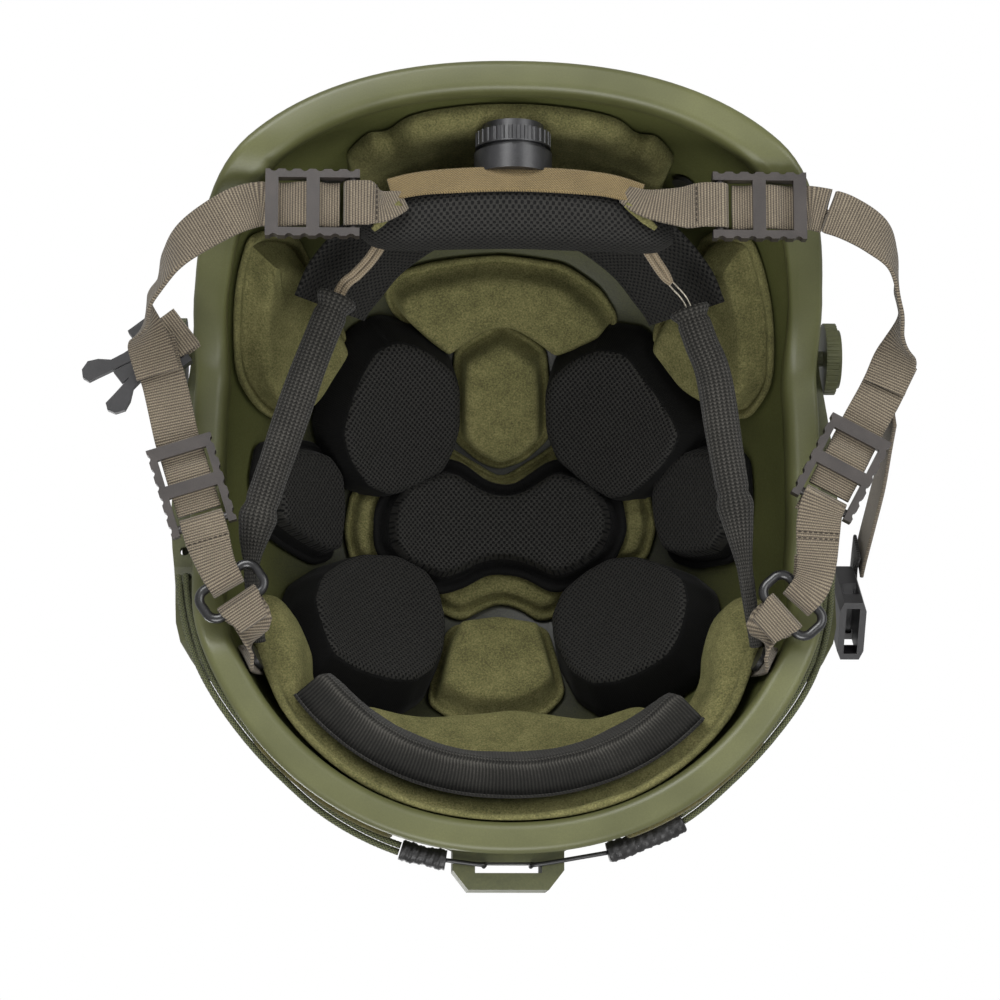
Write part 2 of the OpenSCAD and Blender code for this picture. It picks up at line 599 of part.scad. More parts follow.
sleeve_bore = 10.4;
sleeve_routes = [[[62.5, 68, -3.5], [69, 52, -2.7], [75, 36, -1], [83, 12, 2], [91, -13, 5], [93, -33, 9], [90.2, -55.9, 15.8]],
    [[-65, 64.5, -3.7], [-69.5, 52, -2.7], [-74, 40, -1.5], [-78, 16, 1], [-82, -8, 3], [-86, -34, 6],
        [-90.2, -56.6, 15.4]]];
// The front end narrows to a tail that is held at the bolt
tail_share = 0.4;
module sleeve(route) color(black) {
    rows = run([for (p = route) concat(p, [0, 0, 1])], 4);
    n = len(rows) - 1;
    swell = [for (i = [0:n]) (1 + 0.1 * pow(1 - i / n, 6)) * mix(1, tail_share, ease(0.66, 0.82, i / n))];
    outer = profile_rings(rows, round_profile(sleeve_d / 2, 16));
    ringed([for (i = [0:n]) [for (p = outer[i]) mix(centre(outer[i]), p, swell[i])]],
        centre(outer[0]), centre(outer[n]));
}
// Sleeve bored from its rear end, where the cord goes in
bored_rows = 9;
module bored_sleeve(route) color(black) difference() {
    sleeve(route);
    rows = run([for (p = route) concat(p, [0, 0, 1])], 4);
    start = [rows[0][0], rows[0][1], rows[0][2]] * 2 - [rows[1][0], rows[1][1], rows[1][2]];
    used = concat([concat(start, [0, 0, 1])], [for (i = [0:bored_rows]) rows[i]]);
    sweep(used, round_profile(sleeve_bore / 2, 16));
}
module lace_sleeve_left() bored_sleeve(sleeve_routes[0]);
module lace_sleeve_right() bored_sleeve(sleeve_routes[1]);

/* Chin harness */
module rear_strap_left() color(tan_web) webbing(concat([in_lock(rear_locks[0], 7), in_lock(rear_locks[0], 20),
    in_lock(rear_locks[0], 33)], [[100, 87, -47, 0.2, 1, 0], [113, 79, -45, 0.5, 0.8, 0.35],
    [121, 71, -41, 0.4, 0.5, 0.8], [126, 63, -33, 0.1, 0.3, 1], [129.5, 57, -24, 0.1, 0.6, 0.9],
    [130.5, 51, -16, -0.6, 0.6, 0.3], [128.6, 44, -11.6, -0.9, 0.4, 0], [126.4, 37, -10.4, -0.9, 0.4, 0]]));
module rear_strap_right() color(tan_web) webbing(concat([in_lock(rear_locks[1], 7), in_lock(rear_locks[1], 20),
    in_lock(rear_locks[1], 33)], [[-116, 88, -47, -0.2, 1, 0], [-127, 82, -45, -0.5, 0.8, 0.3],
    [-134, 74, -40, -0.3, 0.5, 0.8], [-137, 62, -32, -0.1, 0.2, 1], [-139.2, 54, -24, -0.1, 0.5, 0.9],
    [-139.5, 47, -16.5, 0.5, 0.7, 0.3], [-137, 40, -12.6, 0.9, 0.45, 0], [-134.5, 34, -11.4, 0.9, 0.45, 0]]));

// Wire loops: the far bar carries the front strap, the near one lies in the anchor webbing
loop_size = [15, 27];
loop_far = [[102.5, -36, -8], [-105, -41, -8]];
loop_turn = [55.2, 138.6];
loop_pitch = loop_size.x - loop_wire;
function loop_way(k) = [cos(loop_turn[k] + 180), sin(loop_turn[k] + 180), 0];
function loop_wide(k) = [-sin(loop_turn[k]), cos(loop_turn[k]), 0];
function loop_near(k) = loop_far[k] + loop_way(k) * loop_pitch;
module d_loop(k) color(black) translate(loop_near(k)) rotate([0, 0, loop_turn[k]]) {
    r = 4;
    half = (loop_size.y - loop_wire) / 2 - r;
    for (x = [0, loop_pitch]) translate([x, -half, 0]) along_y(loop_wire, 2 * half);
    for (y = [-1, 1]) {
        translate([r, y * (half + r), 0]) rotate([0, 90, 0]) cylinder(d = loop_wire, h = loop_pitch - 2 * r);
        for (x = [-1, 1]) translate([x > 0 ? loop_pitch - r : r, y * half, 0])
            rotate([0, 0, x > 0 ? (y > 0 ? 0 : -90) : (y > 0 ? 90 : 180)])
                rotate_extrude(angle = 90) translate([r, 0]) circle(d = loop_wire);
    }
}
module d_loop_left() d_loop(0);
module d_loop_right() d_loop(1);

// The loop rocks a little, so the webbing is slack on its far bar
loop_slack = 1.5;
slack_turn = loop_wire / 2 + loop_slack + web_t / 2;
near_turn = loop_wire / 2 + turn_gap + web_t / 2;
module lower_strap(k) {
    place = front_locks[k];
    at = [place[0], place[1], place[2]];
    far = loop_far[k];
    wide = loop_wide(k);
    back = far - loop_way(k) * 15;
    webbing(concat([concat(back + up * (slack_turn - 1), wide)],
        half_turn(far, loop_way(k), up, slack_turn, wide),
        [concat(mix(far, at, 0.35) + down * 4.4, wide + lock_side(place))],
        [concat(mix(far, at, 0.6) + down * 3.6, lock_side(place))],
        half_turn(at, lock_way(place), down, tight_turn, lock_side(place)),
        [concat(at - lock_way(place) * 7 + up * tight_turn, lock_side(place))]), 1);
}
module front_strap_left() color(tan_web) {
    lower_strap(0);
    webbing([in_lock(front_locks[0], 7), in_lock(front_locks[0], 20), in_lock(front_locks[0], 33),
        [124, 33, -8, -0.9, 0.4, 0], [126.5, 41, -8, -0.9, 0.4, 0], [129, 51, -8, -0.9, 0.3, 0]]);
    way = [cos(male_turn), sin(male_turn), 0];
    bar = [-sin(male_turn), cos(male_turn), 0];
    webbing(concat([concat(male_at - way * 9 + down * tight_turn, bar)],
        half_turn(male_at, way, down, tight_turn, bar), [concat(male_at - way * 9 + up * tight_turn, bar)]), 1);
}
module front_strap_right() color(tan_web) {
    lower_strap(1);
    webbing([in_lock(front_locks[1], 7), in_lock(front_locks[1], 20), in_lock(front_locks[1], 33),
        [-133, 31, -9, -0.9, -0.45, 0], [-136.5, 38, -9, -0.9, -0.45, 0],
        [-140, 45, -9, -0.9, -0.45, 0]]);
}

anchor_angle = [-29, -151];
module anchor_strap(k) color(tan_web) {
    a = anchor_angle[k];
    wall_wide = unit([-sin(a), cos(a), 0]);
    tangent = k == 0 ? wall_wide : -wall_wide;
    near = loop_near(k);
    side = k == 0 ? 1 : -1;
    wide = loop_wide(k) * (k == 0 ? 1 : -1);
    difference() {
        webbing(concat([concat(skin(a, 25, anchor_off), tangent), concat(skin(a, 9, anchor_off), tangent),
            [side * 93.3, -63, 0, side * 0.3, 0.9, 0.2], concat(near + loop_way(k) * 7 + up * near_turn, wide)],
            half_turn(near, -loop_way(k), up, near_turn, wide),
            [concat(near + loop_way(k) * 9 + down * near_turn, wide)]), 1);
        along_ray(bolt_at[k], 3 * shell_wall, bolt_d + 2 * hole_gap, 4 * shell_wall);
    }
}
module anchor_strap_left() anchor_strap(0);
module anchor_strap_right() anchor_strap(1);

bolt_head_d = 9;
bolt_head_t = 1.6;
// Room for the flat bolt head on the curved wall
bolt_room = 0.7;
bolt_at = [[anchor_angle[0], 17], [anchor_angle[1], 17], [55, 10], [125, 10]];
// Along the normal of the wall
module along_ray(b, off, d, length) {
    inner = skin(b.x, b.y, shell_wall);
    way = unit(cross(skin(b.x + 1, b.y, shell_wall) - inner, skin(b.x, b.y + 1, shell_wall) - inner));
    translate(inner + way * (shell_wall - off))
        rotate([0, acos(way.z), atan2(way.y, way.x)]) cylinder(d = d, h = length);
}
module anchor_bolts() color(black) for (b = bolt_at) {
    front = b.x < 0;
    inner = (front ? anchor_off + web_t / 2 : shell_wall + seat) + bolt_room + seat + bolt_head_t;
    along_ray(b, inner, bolt_head_d, bolt_head_t);
    along_ray(b, inner, bolt_d, inner + (front ? -0.3 : 1));
    if (!front) along_ray(b, -0.8, bolt_head_d + 1, bolt_head_t);
}

/* Snap buckle */
male_at = [124, 50.5, -3.5];
male_turn = -37.7;
male_body = [12, 22.5, 6];
module buckle_male() color(black) translate(male_at) rotate([0, 0, male_turn]) {
    gap = web_w + 1;
    front = male_body.x - third_bar_d;
    difference() {
        translate([-third_bar_d, -male_body.y / 2, -male_body.z / 2]) cube(male_body);
        translate([-2 * third_bar_d, -gap / 2, -male_body.z])
            cube([2 * third_bar_d + tight_turn + web_t / 2 + turn_gap, gap, 2 * male_body.z]);
    }
    translate([0, -gap / 2 - 1, 0]) along_y(third_bar_d, gap + 2);
    translate([front - 1, -2.5, -1.4]) cube([14, 5, 2.8]);
    for (side = [-1, 1]) {
        prong = [[0, 5.4], [7, 5.8], [12, 6.6], [15.5, 9.6], [19, 11.2], [22.5, 10], [24, 7.4], [23, 5],
            [19.5, 4.4], [12, 2.9], [7, 1.9], [0, 1.6]];
        translate([front - 1, 0, -1.8]) linear_extrude(3.6) polygon([for (p = prong) [p.x, side * p.y]]);
    }
}

// The chin webbing turns on a round sewn end that lies on the front strap
chin_at = [-139.5, 28, 0.1];
module chin_strap() color(tan_web) {
    translate(chin_at - [web_t / 2 + seat, 0, 0]) rotate([0, 90, 0]) cylinder(d = web_w, h = web_t + 2 * seat);
    webbing([concat(chin_at, [0, 0.85, 0.35]), [-139.5, 21, 11, 0, 0.85, 0.5], [-139.3, 9, 27, 0, 0.82, 0.57],
        [-138, -3, 43, 0, 0.8, 0.6], [-136, -14, 57, 0, 0.8, 0.6]]);
}
female_at = [-129.6, -40, 54];
female_turn = -35.3;
female_body = [10, 24, 27];
female_slot = 18;
// Inner and outer face of a lug, from the middle
lug_x = [1.9, 3.8];
tab_t = 1.3;
module buckle_female() color(black) translate(female_at) rotate([female_turn, 0, 0]) difference() {
    union() {
        linear_extrude(female_body.z, center = true) polygon([for (q = [[1, 0.7], [0.7, 1], [-0.7, 1], [-1, 0.7],
            [-1, -0.7], [-0.7, -1], [0.7, -1], [1, -0.7]]) [q.x * female_body.x / 2, q.y * female_body.y / 2]]);
        translate([0, 0, female_body.z / 2 + 3]) cube([2 * lug_x.y, 20, 8], center = true);
    }
    translate([0, 0, -female_body.z / 2 + 8]) cube([5, 19, 20], center = true);
    for (y = [-1, 1]) translate([0, y * 11, -2]) cube([6, 8, 9], center = true);
    translate([0, 0, female_body.z / 2 + 1]) cube([2 * lug_x.x, female_slot, 12], center = true);
}

// Flat folded end of the chin webbing, beside the lugs of the buckle
module strap_end_tab() color(black)
    translate(female_at - [lug_x.y + seat + tab_t, 0, 0]) rotate([female_turn, 0, 0]) rotate([90, 0, 90])
        linear_extrude(tab_t) polygon([[19.3, 9], [12.8, 14], [-9, 14], [-9, 20], [6, 26], [22, 25]]);

/* Ear discs */
disc_y = 55;
disc_z = 38;
disc_pin_d = 6;
pin_depth = 4;
function disc_back(side) = max([for (y = [disc_y - disc_d / 2, disc_y, disc_y + disc_d / 2])
    max(concat([for (i = [4:9]) abs(rail_section(side, y)[i].x)],
        [abs(beside(side, y, rim_z(y), -trim_gap - trim_wall).x)]))]) + seat;
module rail_knob(side) color(olive) translate([side * disc_back(side), disc_y, disc_z]) rotate([0, side * 90, 0]) {
    difference() {
        union() {
            cylinder(d = disc_d, h = disc_t - 1.5);
            cylinder(d = disc_d - 5, h = disc_t);
            translate([0, 0, -pin_depth]) cylinder(d = disc_pin_d, h = pin_depth + 1);
        }
        for (i = [0:35])
            rotate([0, 0, i * 10]) translate([disc_d / 2 + 0.2, 0, -1]) cylinder(d = 1.3, h = disc_t);
        translate([-8, -1.2, disc_t - 1]) cube([16, 2.4, 2]);
    }
}
module rail_knob_left() rail_knob(1);
module rail_knob_right() rail_knob(-1);

shell();
edge_trim();
rail_left();
rail_right();
rail_screws();
front_shroud();
shroud_screws();
bungee_left();
bungee_right();
bungee_sleeves();
wire_hooks();
loop_patches();
rear_liner_pad();
side_liner_left();
side_liner_right();
brow_liner();
crown_liner_rear();
crown_liner_centre();
crown_liner_front();
crown_liner_base();
comfort_pad_rear_left();
comfort_pad_rear_right();
comfort_pad_front_left();
comfort_pad_front_right();
comfort_pad_centre();
comfort_pad_side_left();
comfort_pad_side_right();
brow_pad();
dial_base();
dial();
nape_pad();
nape_cover();
occipital_band();
lace_cords();
lace_sleeve_left();
lace_sleeve_right();
rear_strap_left();
rear_strap_right();
front_strap_left();
front_strap_right();
ladder_lock_rear_left();
ladder_lock_rear_right();
ladder_lock_front_left();
ladder_lock_front_right();
d_loop_left();
d_loop_right();
anchor_strap_left();
anchor_strap_right();
anchor_bolts();
buckle_male();
chin_strap();
strap_end_tab();
buckle_female();
rail_knob_left();
rail_knob_right();
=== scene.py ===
import json
import math

import bmesh
import bpy
import numpy as np
from mathutils import Matrix, Vector


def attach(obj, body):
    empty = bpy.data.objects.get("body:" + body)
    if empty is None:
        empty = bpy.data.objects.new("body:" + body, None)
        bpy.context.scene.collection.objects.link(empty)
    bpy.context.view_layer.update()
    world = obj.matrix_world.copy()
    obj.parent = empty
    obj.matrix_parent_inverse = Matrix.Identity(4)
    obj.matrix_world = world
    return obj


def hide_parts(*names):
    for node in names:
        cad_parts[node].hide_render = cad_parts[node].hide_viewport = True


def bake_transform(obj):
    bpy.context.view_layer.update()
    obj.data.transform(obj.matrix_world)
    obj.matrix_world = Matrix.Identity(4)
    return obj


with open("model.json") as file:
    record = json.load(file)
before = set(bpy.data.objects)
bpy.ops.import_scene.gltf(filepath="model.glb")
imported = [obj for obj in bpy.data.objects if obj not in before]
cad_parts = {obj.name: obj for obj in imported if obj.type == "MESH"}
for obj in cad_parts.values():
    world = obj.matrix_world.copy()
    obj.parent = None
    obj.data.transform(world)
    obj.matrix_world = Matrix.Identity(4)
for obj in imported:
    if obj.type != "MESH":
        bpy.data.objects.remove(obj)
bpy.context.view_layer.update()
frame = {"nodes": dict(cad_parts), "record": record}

bl_info = {
    "name": "Combat helmet",
    "version": (1, 0, 0),
    "blender": (4, 5, 0),
    "location": "View3D > Sidebar > Helmet",
    "description": "Dresses the combat helmet with its paint, pads, webbing and cords",
    "category": "Object",
}

BODY = {node: body for body, nodes in frame["record"]["behaviour"]["bodies"].items() for node in nodes}

# Lengths below are millimetres, as on the drawings of the helmet, and MM turns them into metres
MM = 0.001

# Form of the shell, as in its solid: half width, reach to the front and rear, height, wall, how far the rim
# rises over the ears and drops at the nape, and the powers that square its plan and its dome
SHELL_HALF_W = 118.5
SHELL_FRONT = 126.5
SHELL_REAR = 144.0
SHELL_H = 122.0
SHELL_WALL = 8.5
EAR_RISE = 26.0
NAPE_DROP = 72.0
MID_Y = -5.0
FRONT_POWER = 2.12
REAR_POWER_X = 2.2
REAR_POWER_Y = 3.8
DOME_FALL = 1.9
DOME_POWER = 2.1
FLARE = 0.06
EYE = np.array([0.0, MID_Y, 0.0])

TRIM_WALL = 1.1
TRIM_GAP = 0.25
TRIM_H = 6.5
SEAT = 0.3
LINER_BACK = SHELL_WALL + 1.1
BROW_BACK = SHELL_WALL + TRIM_GAP + TRIM_WALL + 2 * SEAT
WEB_W = 16.0
WEB_T = 1.4
UP = np.array([0.0, 0.0, 1.0])
DOWN = -UP


# Form of the shell

def ease(low, high, value):
    """0 below low, 1 above high and a smooth step between."""
    t = np.clip((np.asarray(value, float) - low) / (high - low), 0, 1)
    return t * t * (3 - 2 * t)


def rim_height(y):
    """Height of the shell's rim at a distance from the origin to the rear."""
    return EAR_RISE * ease(-62, -22, y) - NAPE_DROP * ease(44, 112, y)


def shrink(z, h):
    """Share of its widest size that the shell's plan has at a height."""
    above = np.maximum(1e-6, 1 - (np.clip(z, 0, h) / h) ** DOME_FALL) ** (1 / DOME_POWER)
    return np.where(z <= 0, 1 - FLARE * z / 100, above)


def power(whole, z, h):
    """Power of the plan at a height: whole at the rim and 2, an ellipse, at the top."""
    return 2 + (whole - 2) * (1 - (np.clip(z, 0, h) / h) ** 2)


def signed_power(v, p):
    """Power of the size of v, with v's sign."""
    return np.sign(v) * np.abs(v) ** p


def plan(rear, z, off):
    """Half width, reach and their powers of the skin's plan at a height, on the rear or the front half."""
    h = SHELL_H - off
    k = shrink(z, h)
    reach = (np.where(rear, SHELL_REAR, SHELL_FRONT) - off) * k
    px = power(np.where(rear, REAR_POWER_X, FRONT_POWER), z, h)
    py = power(np.where(rear, REAR_POWER_Y, FRONT_POWER), z, h)
    return (SHELL_HALF_W - off) * k, reach, px, py


def skin(angle, z, off):
    """Point of the skin that lies off inside the outer surface, at an angle in degrees and a height."""
    a = np.radians(np.asarray(angle, float))
    z = np.asarray(z, float) + 0 * a
    half, reach, px, py = plan(np.sin(a) >= 0, z, off)
    x = half * signed_power(np.cos(a), 2 / px)
    y = MID_Y + reach * signed_power(np.sin(a), 2 / py)
    return np.stack([x, y, z], axis=-1)


def level(p, off):
    """Below 1 inside the skin and above 1 outside it."""
    z = p[..., 2]
    half, reach, px, py = plan(p[..., 1] >= MID_Y, z, off)
    value = (np.abs(p[..., 0]) / half) ** px + (np.abs(p[..., 1] - MID_Y) / reach) ** py
    return np.where(z >= SHELL_H - off, 9.0, value)


def crossing(start, way, off):
    """Where rays from start along way cross the skin at off, by halving."""
    low = np.zeros(way.shape[:-1])
    top = low + 260.0
    for _ in range(24):
        middle = (low + top) / 2
        inside = level(start + way * middle[..., None], off) < 1
        low = np.where(inside, middle, low)
        top = np.where(inside, top, middle)
    return start + way * low[..., None]


def heading(degrees):
    """Flat way at an angle from the wearer's left towards the rear."""
    t = math.radians(degrees)
    return np.array([math.cos(t), math.sin(t), 0.0])


def unit(v):
    """Vectors of length 1 along v."""
    v = np.asarray(v, float)
    return v / np.maximum(1e-9, np.linalg.norm(v, axis=-1, keepdims=True))


def ring_angles(count):
    """Angles that space the points evenly round the squarer rear half too."""
    out = []
    for i in range(count):
        t = 2 * math.pi * i / count
        if math.sin(t) <= 1e-9:
            out.append(math.degrees(t))
        else:
            s = math.degrees(math.asin(min(1.0, math.sin(t) ** (REAR_POWER_Y / 2))))
            out.append(s if math.cos(t) >= 0 else 180 - s)
    return np.array(out)


def rim_point(angle, off, up):
    """Point of the skin at off, so far up from the rim."""
    base = skin(angle, 0, min(max(off, 0), SHELL_WALL))
    return skin(angle, rim_height(base[..., 1]) + up, off)


# Curves and meshes

def through(rows, steps):
    """Smooth run through rows of numbers."""
    rows = np.asarray(rows, float)
    n = len(rows)
    out = []
    for i in range(n - 1):
        a, b, c, d = rows[max(0, i - 1)], rows[i], rows[i + 1], rows[min(n - 1, i + 2)]
        for s in range(steps):
            t = s / steps
            out.append(0.5 * (2 * b + (c - a) * t + (2 * a - 5 * b + 4 * c - d) * t * t
                              + (3 * b - a - 3 * c + d) * t ** 3))
    return np.array(out + [rows[-1]])


def evenly(points, count):
    """The same closed line with its points evenly spaced."""
    loop = np.vstack([points, points[:1]])
    along = along_length(loop)
    wanted = np.linspace(0, along[-1], count + 1)[:-1]
    return np.stack([np.interp(wanted, along, loop[:, k]) for k in range(loop.shape[1])], axis=1)


def rounded(outline, radius, count=120):
    """Outline with its corners rounded, as evenly spaced points."""
    outline = np.asarray(outline, float)
    out = []
    for i, corner in enumerate(outline):
        before, after = outline[i - 1], outline[(i + 1) % len(outline)]
        cut_a = min(radius, 0.48 * np.linalg.norm(before - corner))
        cut_b = min(radius, 0.48 * np.linalg.norm(after - corner))
        a = corner + unit(before - corner) * cut_a
        b = corner + unit(after - corner) * cut_b
        for t in np.linspace(0, 1, 7):
            out.append((1 - t) ** 2 * a + 2 * t * (1 - t) * corner + t * t * b)
    return evenly(np.array(out), count)


def wander(points, size, height, seed=0.0):
    """Smooth random heights at points, by a few slanted waves."""
    p = np.asarray(points, float) / size
    out = np.zeros(p.shape[:-1])
    for k in range(6):
        turn = np.array([math.sin(2.1 * k + seed), math.cos(3.7 * k + seed), math.sin(5.3 * k + 1 + seed)])
        out = out + np.sin(p @ unit(turn) * (2.2 + 0.9 * k) + 1.7 * k + seed) / (1 + 0.5 * k)
    return height * out / 3


def face_out(obj):
    """Turns every face to the outside."""
    work = bmesh.new()
    work.from_mesh(obj.data)
    bmesh.ops.recalc_face_normals(work, faces=work.faces)
    work.to_mesh(obj.data)
    work.free()
    return obj


def piece(name, points, faces, node, look, weave=None, wall=0):
    """Makes a mesh piece that stands for a node, or rides the body of that name. The first faces, as many as
    wall says, take the finish pad_wall. The rear straps ride no body."""
    mesh = bpy.data.meshes.new(name)
    mesh.from_pydata([tuple(p) for p in np.asarray(points) * MM], [], [tuple(f) for f in faces])
    obj = bpy.data.objects.new(name, mesh)
    bpy.context.scene.collection.objects.link(obj)
    mesh.materials.append(finish(look))
    if wall:
        mesh.materials.append(finish("pad_wall"))
        mesh.polygons.foreach_set("material_index", [int(i < wall) for i in range(len(mesh.polygons))])
    mesh.polygons.foreach_set("use_smooth", [True] * len(mesh.polygons))
    if weave is not None:
        set_weave(mesh, weave)
    if not node.startswith("rear_strap"):
        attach(obj, BODY.get(node, node))
    if node in BODY:
        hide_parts(node)
    return face_out(obj)


def set_weave(mesh, weave):
    """Writes the weave's own coordinates, in metres, along and across the cloth."""
    layer = mesh.uv_layers.new(name="weave")
    spots = np.empty(len(mesh.loops), np.int32)
    mesh.loops.foreach_get("vertex_index", spots)
    layer.data.foreach_set("uv", (np.asarray(weave)[spots] * MM).ravel())


def grid_faces(rows, columns):
    """Faces between rings of points."""
    out = []
    for a in range(0, (rows - 1) * columns, columns):
        for i in range(columns):
            k = (i + 1) % columns
            out.append((a + i, a + k, a + columns + k, a + columns + i))
    return out


def capped(rings, start=None, end=None):
    """Points and faces of a skin over rings, shut at both ends."""
    rings = np.asarray(rings)
    m, n = rings.shape[:2]
    start = rings[0].mean(axis=0) if start is None else start
    end = rings[-1].mean(axis=0) if end is None else end
    points = np.vstack([rings.reshape(-1, 3), [start], [end]])
    faces = grid_faces(m, n)
    faces += [(i, m * n, (i + 1) % n) for i in range(n)]
    faces += [((m - 1) * n + (i + 1) % n, m * n + 1, (m - 1) * n + i) for i in range(n)]
    return points, faces


def swept(rows, profiles):
    """Rings of a profile of (across, through) points a row. Rows hold a place and the way the width lies."""
    at, wide = rows[:, :3], rows[:, 3:6]
    before = np.vstack([at[:1], at[:-1]])
    after = np.vstack([at[1:], at[-1:]])
    way = unit(after - before)
    flat = unit(np.cross(way, wide))
    across = np.cross(flat, way)
    return at[:, None] + across[:, None] * profiles[..., :1] + flat[:, None] * profiles[..., 1:]


def along_length(points):
    """Distance along a line at each of its points."""
    return np.concatenate([[0], np.cumsum(np.linalg.norm(np.diff(points[:, :3], axis=0), axis=1))])


# Steady way that a tube's sides start from, off the axes so that no path lies along it
TUBE_START = (0.0123, 0.0456, 1.0)


def tube(name, path, radius, node, look, sides=16, relief=None):
    """Round tube along a path, with an optional relief(along, turn) added to its radius."""
    rows = np.hstack([path, np.tile(TUBE_START, (len(path), 1))])
    turn = np.arange(sides) * 2 * math.pi / sides
    along = along_length(rows)
    radii = np.ones((len(rows), sides)) * np.asarray(radius, float).reshape(-1, 1)
    if relief is not None:
        radii = radii + relief(along[:, None], turn[None, :])
    profile = np.stack([radii * np.cos(turn), radii * np.sin(turn)], axis=-1)
    points, faces = capped(swept(rows, profile))
    mean = float(np.mean(radii))
    weave = np.vstack([np.stack(np.broadcast_arrays(along[:, None], turn[None, :] * mean), -1).reshape(-1, 2),
                       [[0, 0]], [[along[-1], 0]]])
    return piece(name, points, faces, node, look, weave)


def cord(obj, path):
    """Turns a cord's path into metres, and does nothing more."""
    path = np.asarray(path) * MM


# Finishes

def linear(colour):
    """Linear red, green, blue and alpha of a hex colour."""
    parts = [int(colour[i:i + 2], 16) / 255 for i in (1, 3, 5)]
    return [p / 12.92 if p <= 0.04045 else ((p + 0.055) / 1.055) ** 2.4 for p in parts] + [1.0]


class Finish:
    """A material under one Principled surface, with short calls for the nodes that feed it."""

    def __init__(self, name, roughness, **sockets):
        self.material = bpy.data.materials.new(name)
        self.material.use_nodes = True
        self.tree = self.material.node_tree
        self.surface = self.tree.nodes["Principled BSDF"]
        self.surface.inputs["Roughness"].default_value = roughness
        for key, value in sockets.items():
            self.surface.inputs[key.replace("_", " ")].default_value = value

    def node(self, kind, **settings):
        """New node of a kind, with its settings."""
        node = self.tree.nodes.new(kind)
        for key, value in settings.items():
            setattr(node, key, value)
        return node

    def feed(self, socket, value):
        """Links an output to a socket, or sets the socket to a number."""
        if hasattr(value, "is_output"):
            self.tree.links.new(value, socket)
        else:
            socket.default_value = value

    def math(self, operation, *values):
        """Result of one math node."""
        node = self.node("ShaderNodeMath", operation=operation)
        for socket, value in zip(node.inputs, values):
            self.feed(socket, value)
        return node.outputs[0]

    def total(self, *parts):
        """Sum of (value, weight) parts."""
        out = self.math("MULTIPLY", *parts[0])
        for value, weight in parts[1:]:
            out = self.math("MULTIPLY_ADD", value, weight, out)
        return out

    def place(self):
        """Place on the object, in metres."""
        return self.node("ShaderNodeTexCoord").outputs["Object"]

    def weave(self):
        """Along and across the cloth, in metres."""
        split = self.node("ShaderNodeSeparateXYZ")
        self.feed(split.inputs[0], self.node("ShaderNodeUVMap", uv_map="weave").outputs[0])
        return split.outputs[0], split.outputs[1]

    def noise(self, size_mm, detail=2.0, roughness=0.5, stretch=None):
        """Cloudy values from 0 to 1 with spots of about the given size."""
        node = self.node("ShaderNodeTexNoise")
        node.inputs["Scale"].default_value = 1000.0 / size_mm
        node.inputs["Detail"].default_value = detail
        node.inputs["Roughness"].default_value = roughness
        place = self.place()
        if stretch:
            mapping = self.node("ShaderNodeMapping")
            mapping.inputs["Scale"].default_value = stretch
            self.feed(mapping.inputs[0], place)
            place = mapping.outputs[0]
        self.feed(node.inputs["Vector"], place)
        return node.outputs[0]

    def inner(self):
        """1 on faces marked as the inside of the shell."""
        return self.node("ShaderNodeAttribute", attribute_name="inside").outputs["Fac"]

    def wave(self, value, pitch_mm, shift=0.0):
        """Sine from 0 to 1 along a coordinate in metres."""
        turns = self.math("MULTIPLY_ADD", value, 2000 * math.pi / pitch_mm, shift)
        return self.math("MULTIPLY_ADD", self.math("SINE", turns), 0.5, 0.5)

    def between(self, value, low, high):
        """0 at low, 1 at high and a smooth step between."""
        node = self.node("ShaderNodeMapRange", interpolation_type="SMOOTHSTEP")
        self.feed(node.inputs["Value"], value)
        node.inputs["From Min"].default_value = low
        node.inputs["From Max"].default_value = high
        return node.outputs[0]

    def colours(self, share, *stops):
        """Colour by share, from (place, hex colour) stops."""
        ramp = self.node("ShaderNodeValToRGB")
        elements = ramp.color_ramp.elements
        while len(elements) < len(stops):
            elements.new(0.5)
        for element, (place, colour) in zip(elements, stops):
            element.position = place
            element.color = linear(colour)
        self.feed(ramp.inputs[0], share)
        self.feed(self.surface.inputs["Base Color"], ramp.outputs[0])

    def rough(self, share, low, high):
        """Roughness from low to high by share."""
        span = self.math("MULTIPLY_ADD", share, high - low, low)
        self.feed(self.surface.inputs["Roughness"], span)

    def bump(self, height, distance_mm, strength=1.0):
        """Relief by height."""
        node = self.node("ShaderNodeBump")
        node.inputs["Strength"].default_value = strength
        node.inputs["Distance"].default_value = distance_mm * MM
        self.feed(node.inputs["Height"], height)
        self.feed(self.surface.inputs["Normal"], node.outputs[0])


def shell_paint(looks):
    """Olive paint with a fine peel, and painted shade that darkens it deep inside the crown."""
    paint = Finish("shell_paint", 0.42)
    patches = paint.noise(26, 3)
    peel = paint.noise(looks.peel_size / MM, 2)
    grain = paint.noise(0.5, 1)
    split = paint.node("ShaderNodeSeparateXYZ")
    paint.feed(split.inputs[0], paint.place())
    # Painted shade: the paint on the inside of the shell darkens from 35 mm up, where the crown lies in shade
    # behind the pads
    crown_shade = paint.between(split.outputs[2], 0.035, 0.1)
    inside_shade = paint.between(paint.inner(), 0.0, 1.0)
    painted_shade = paint.math("MULTIPLY", crown_shade, inside_shade)
    share = paint.math("ADD", paint.total((patches, 0.3), (grain, 0.35), (painted_shade, -0.42)), 0.18)
    paint.colours(share, (0.05, "#23241a"), (0.34, "#454727"), (0.5, "#50532e"), (0.72, "#5a5c36"))
    paint.rough(peel, 0.34, 0.56)
    paint.bump(paint.math("MULTIPLY_ADD", grain, 0.3, peel), 0.12, 0.55)
    return paint.material


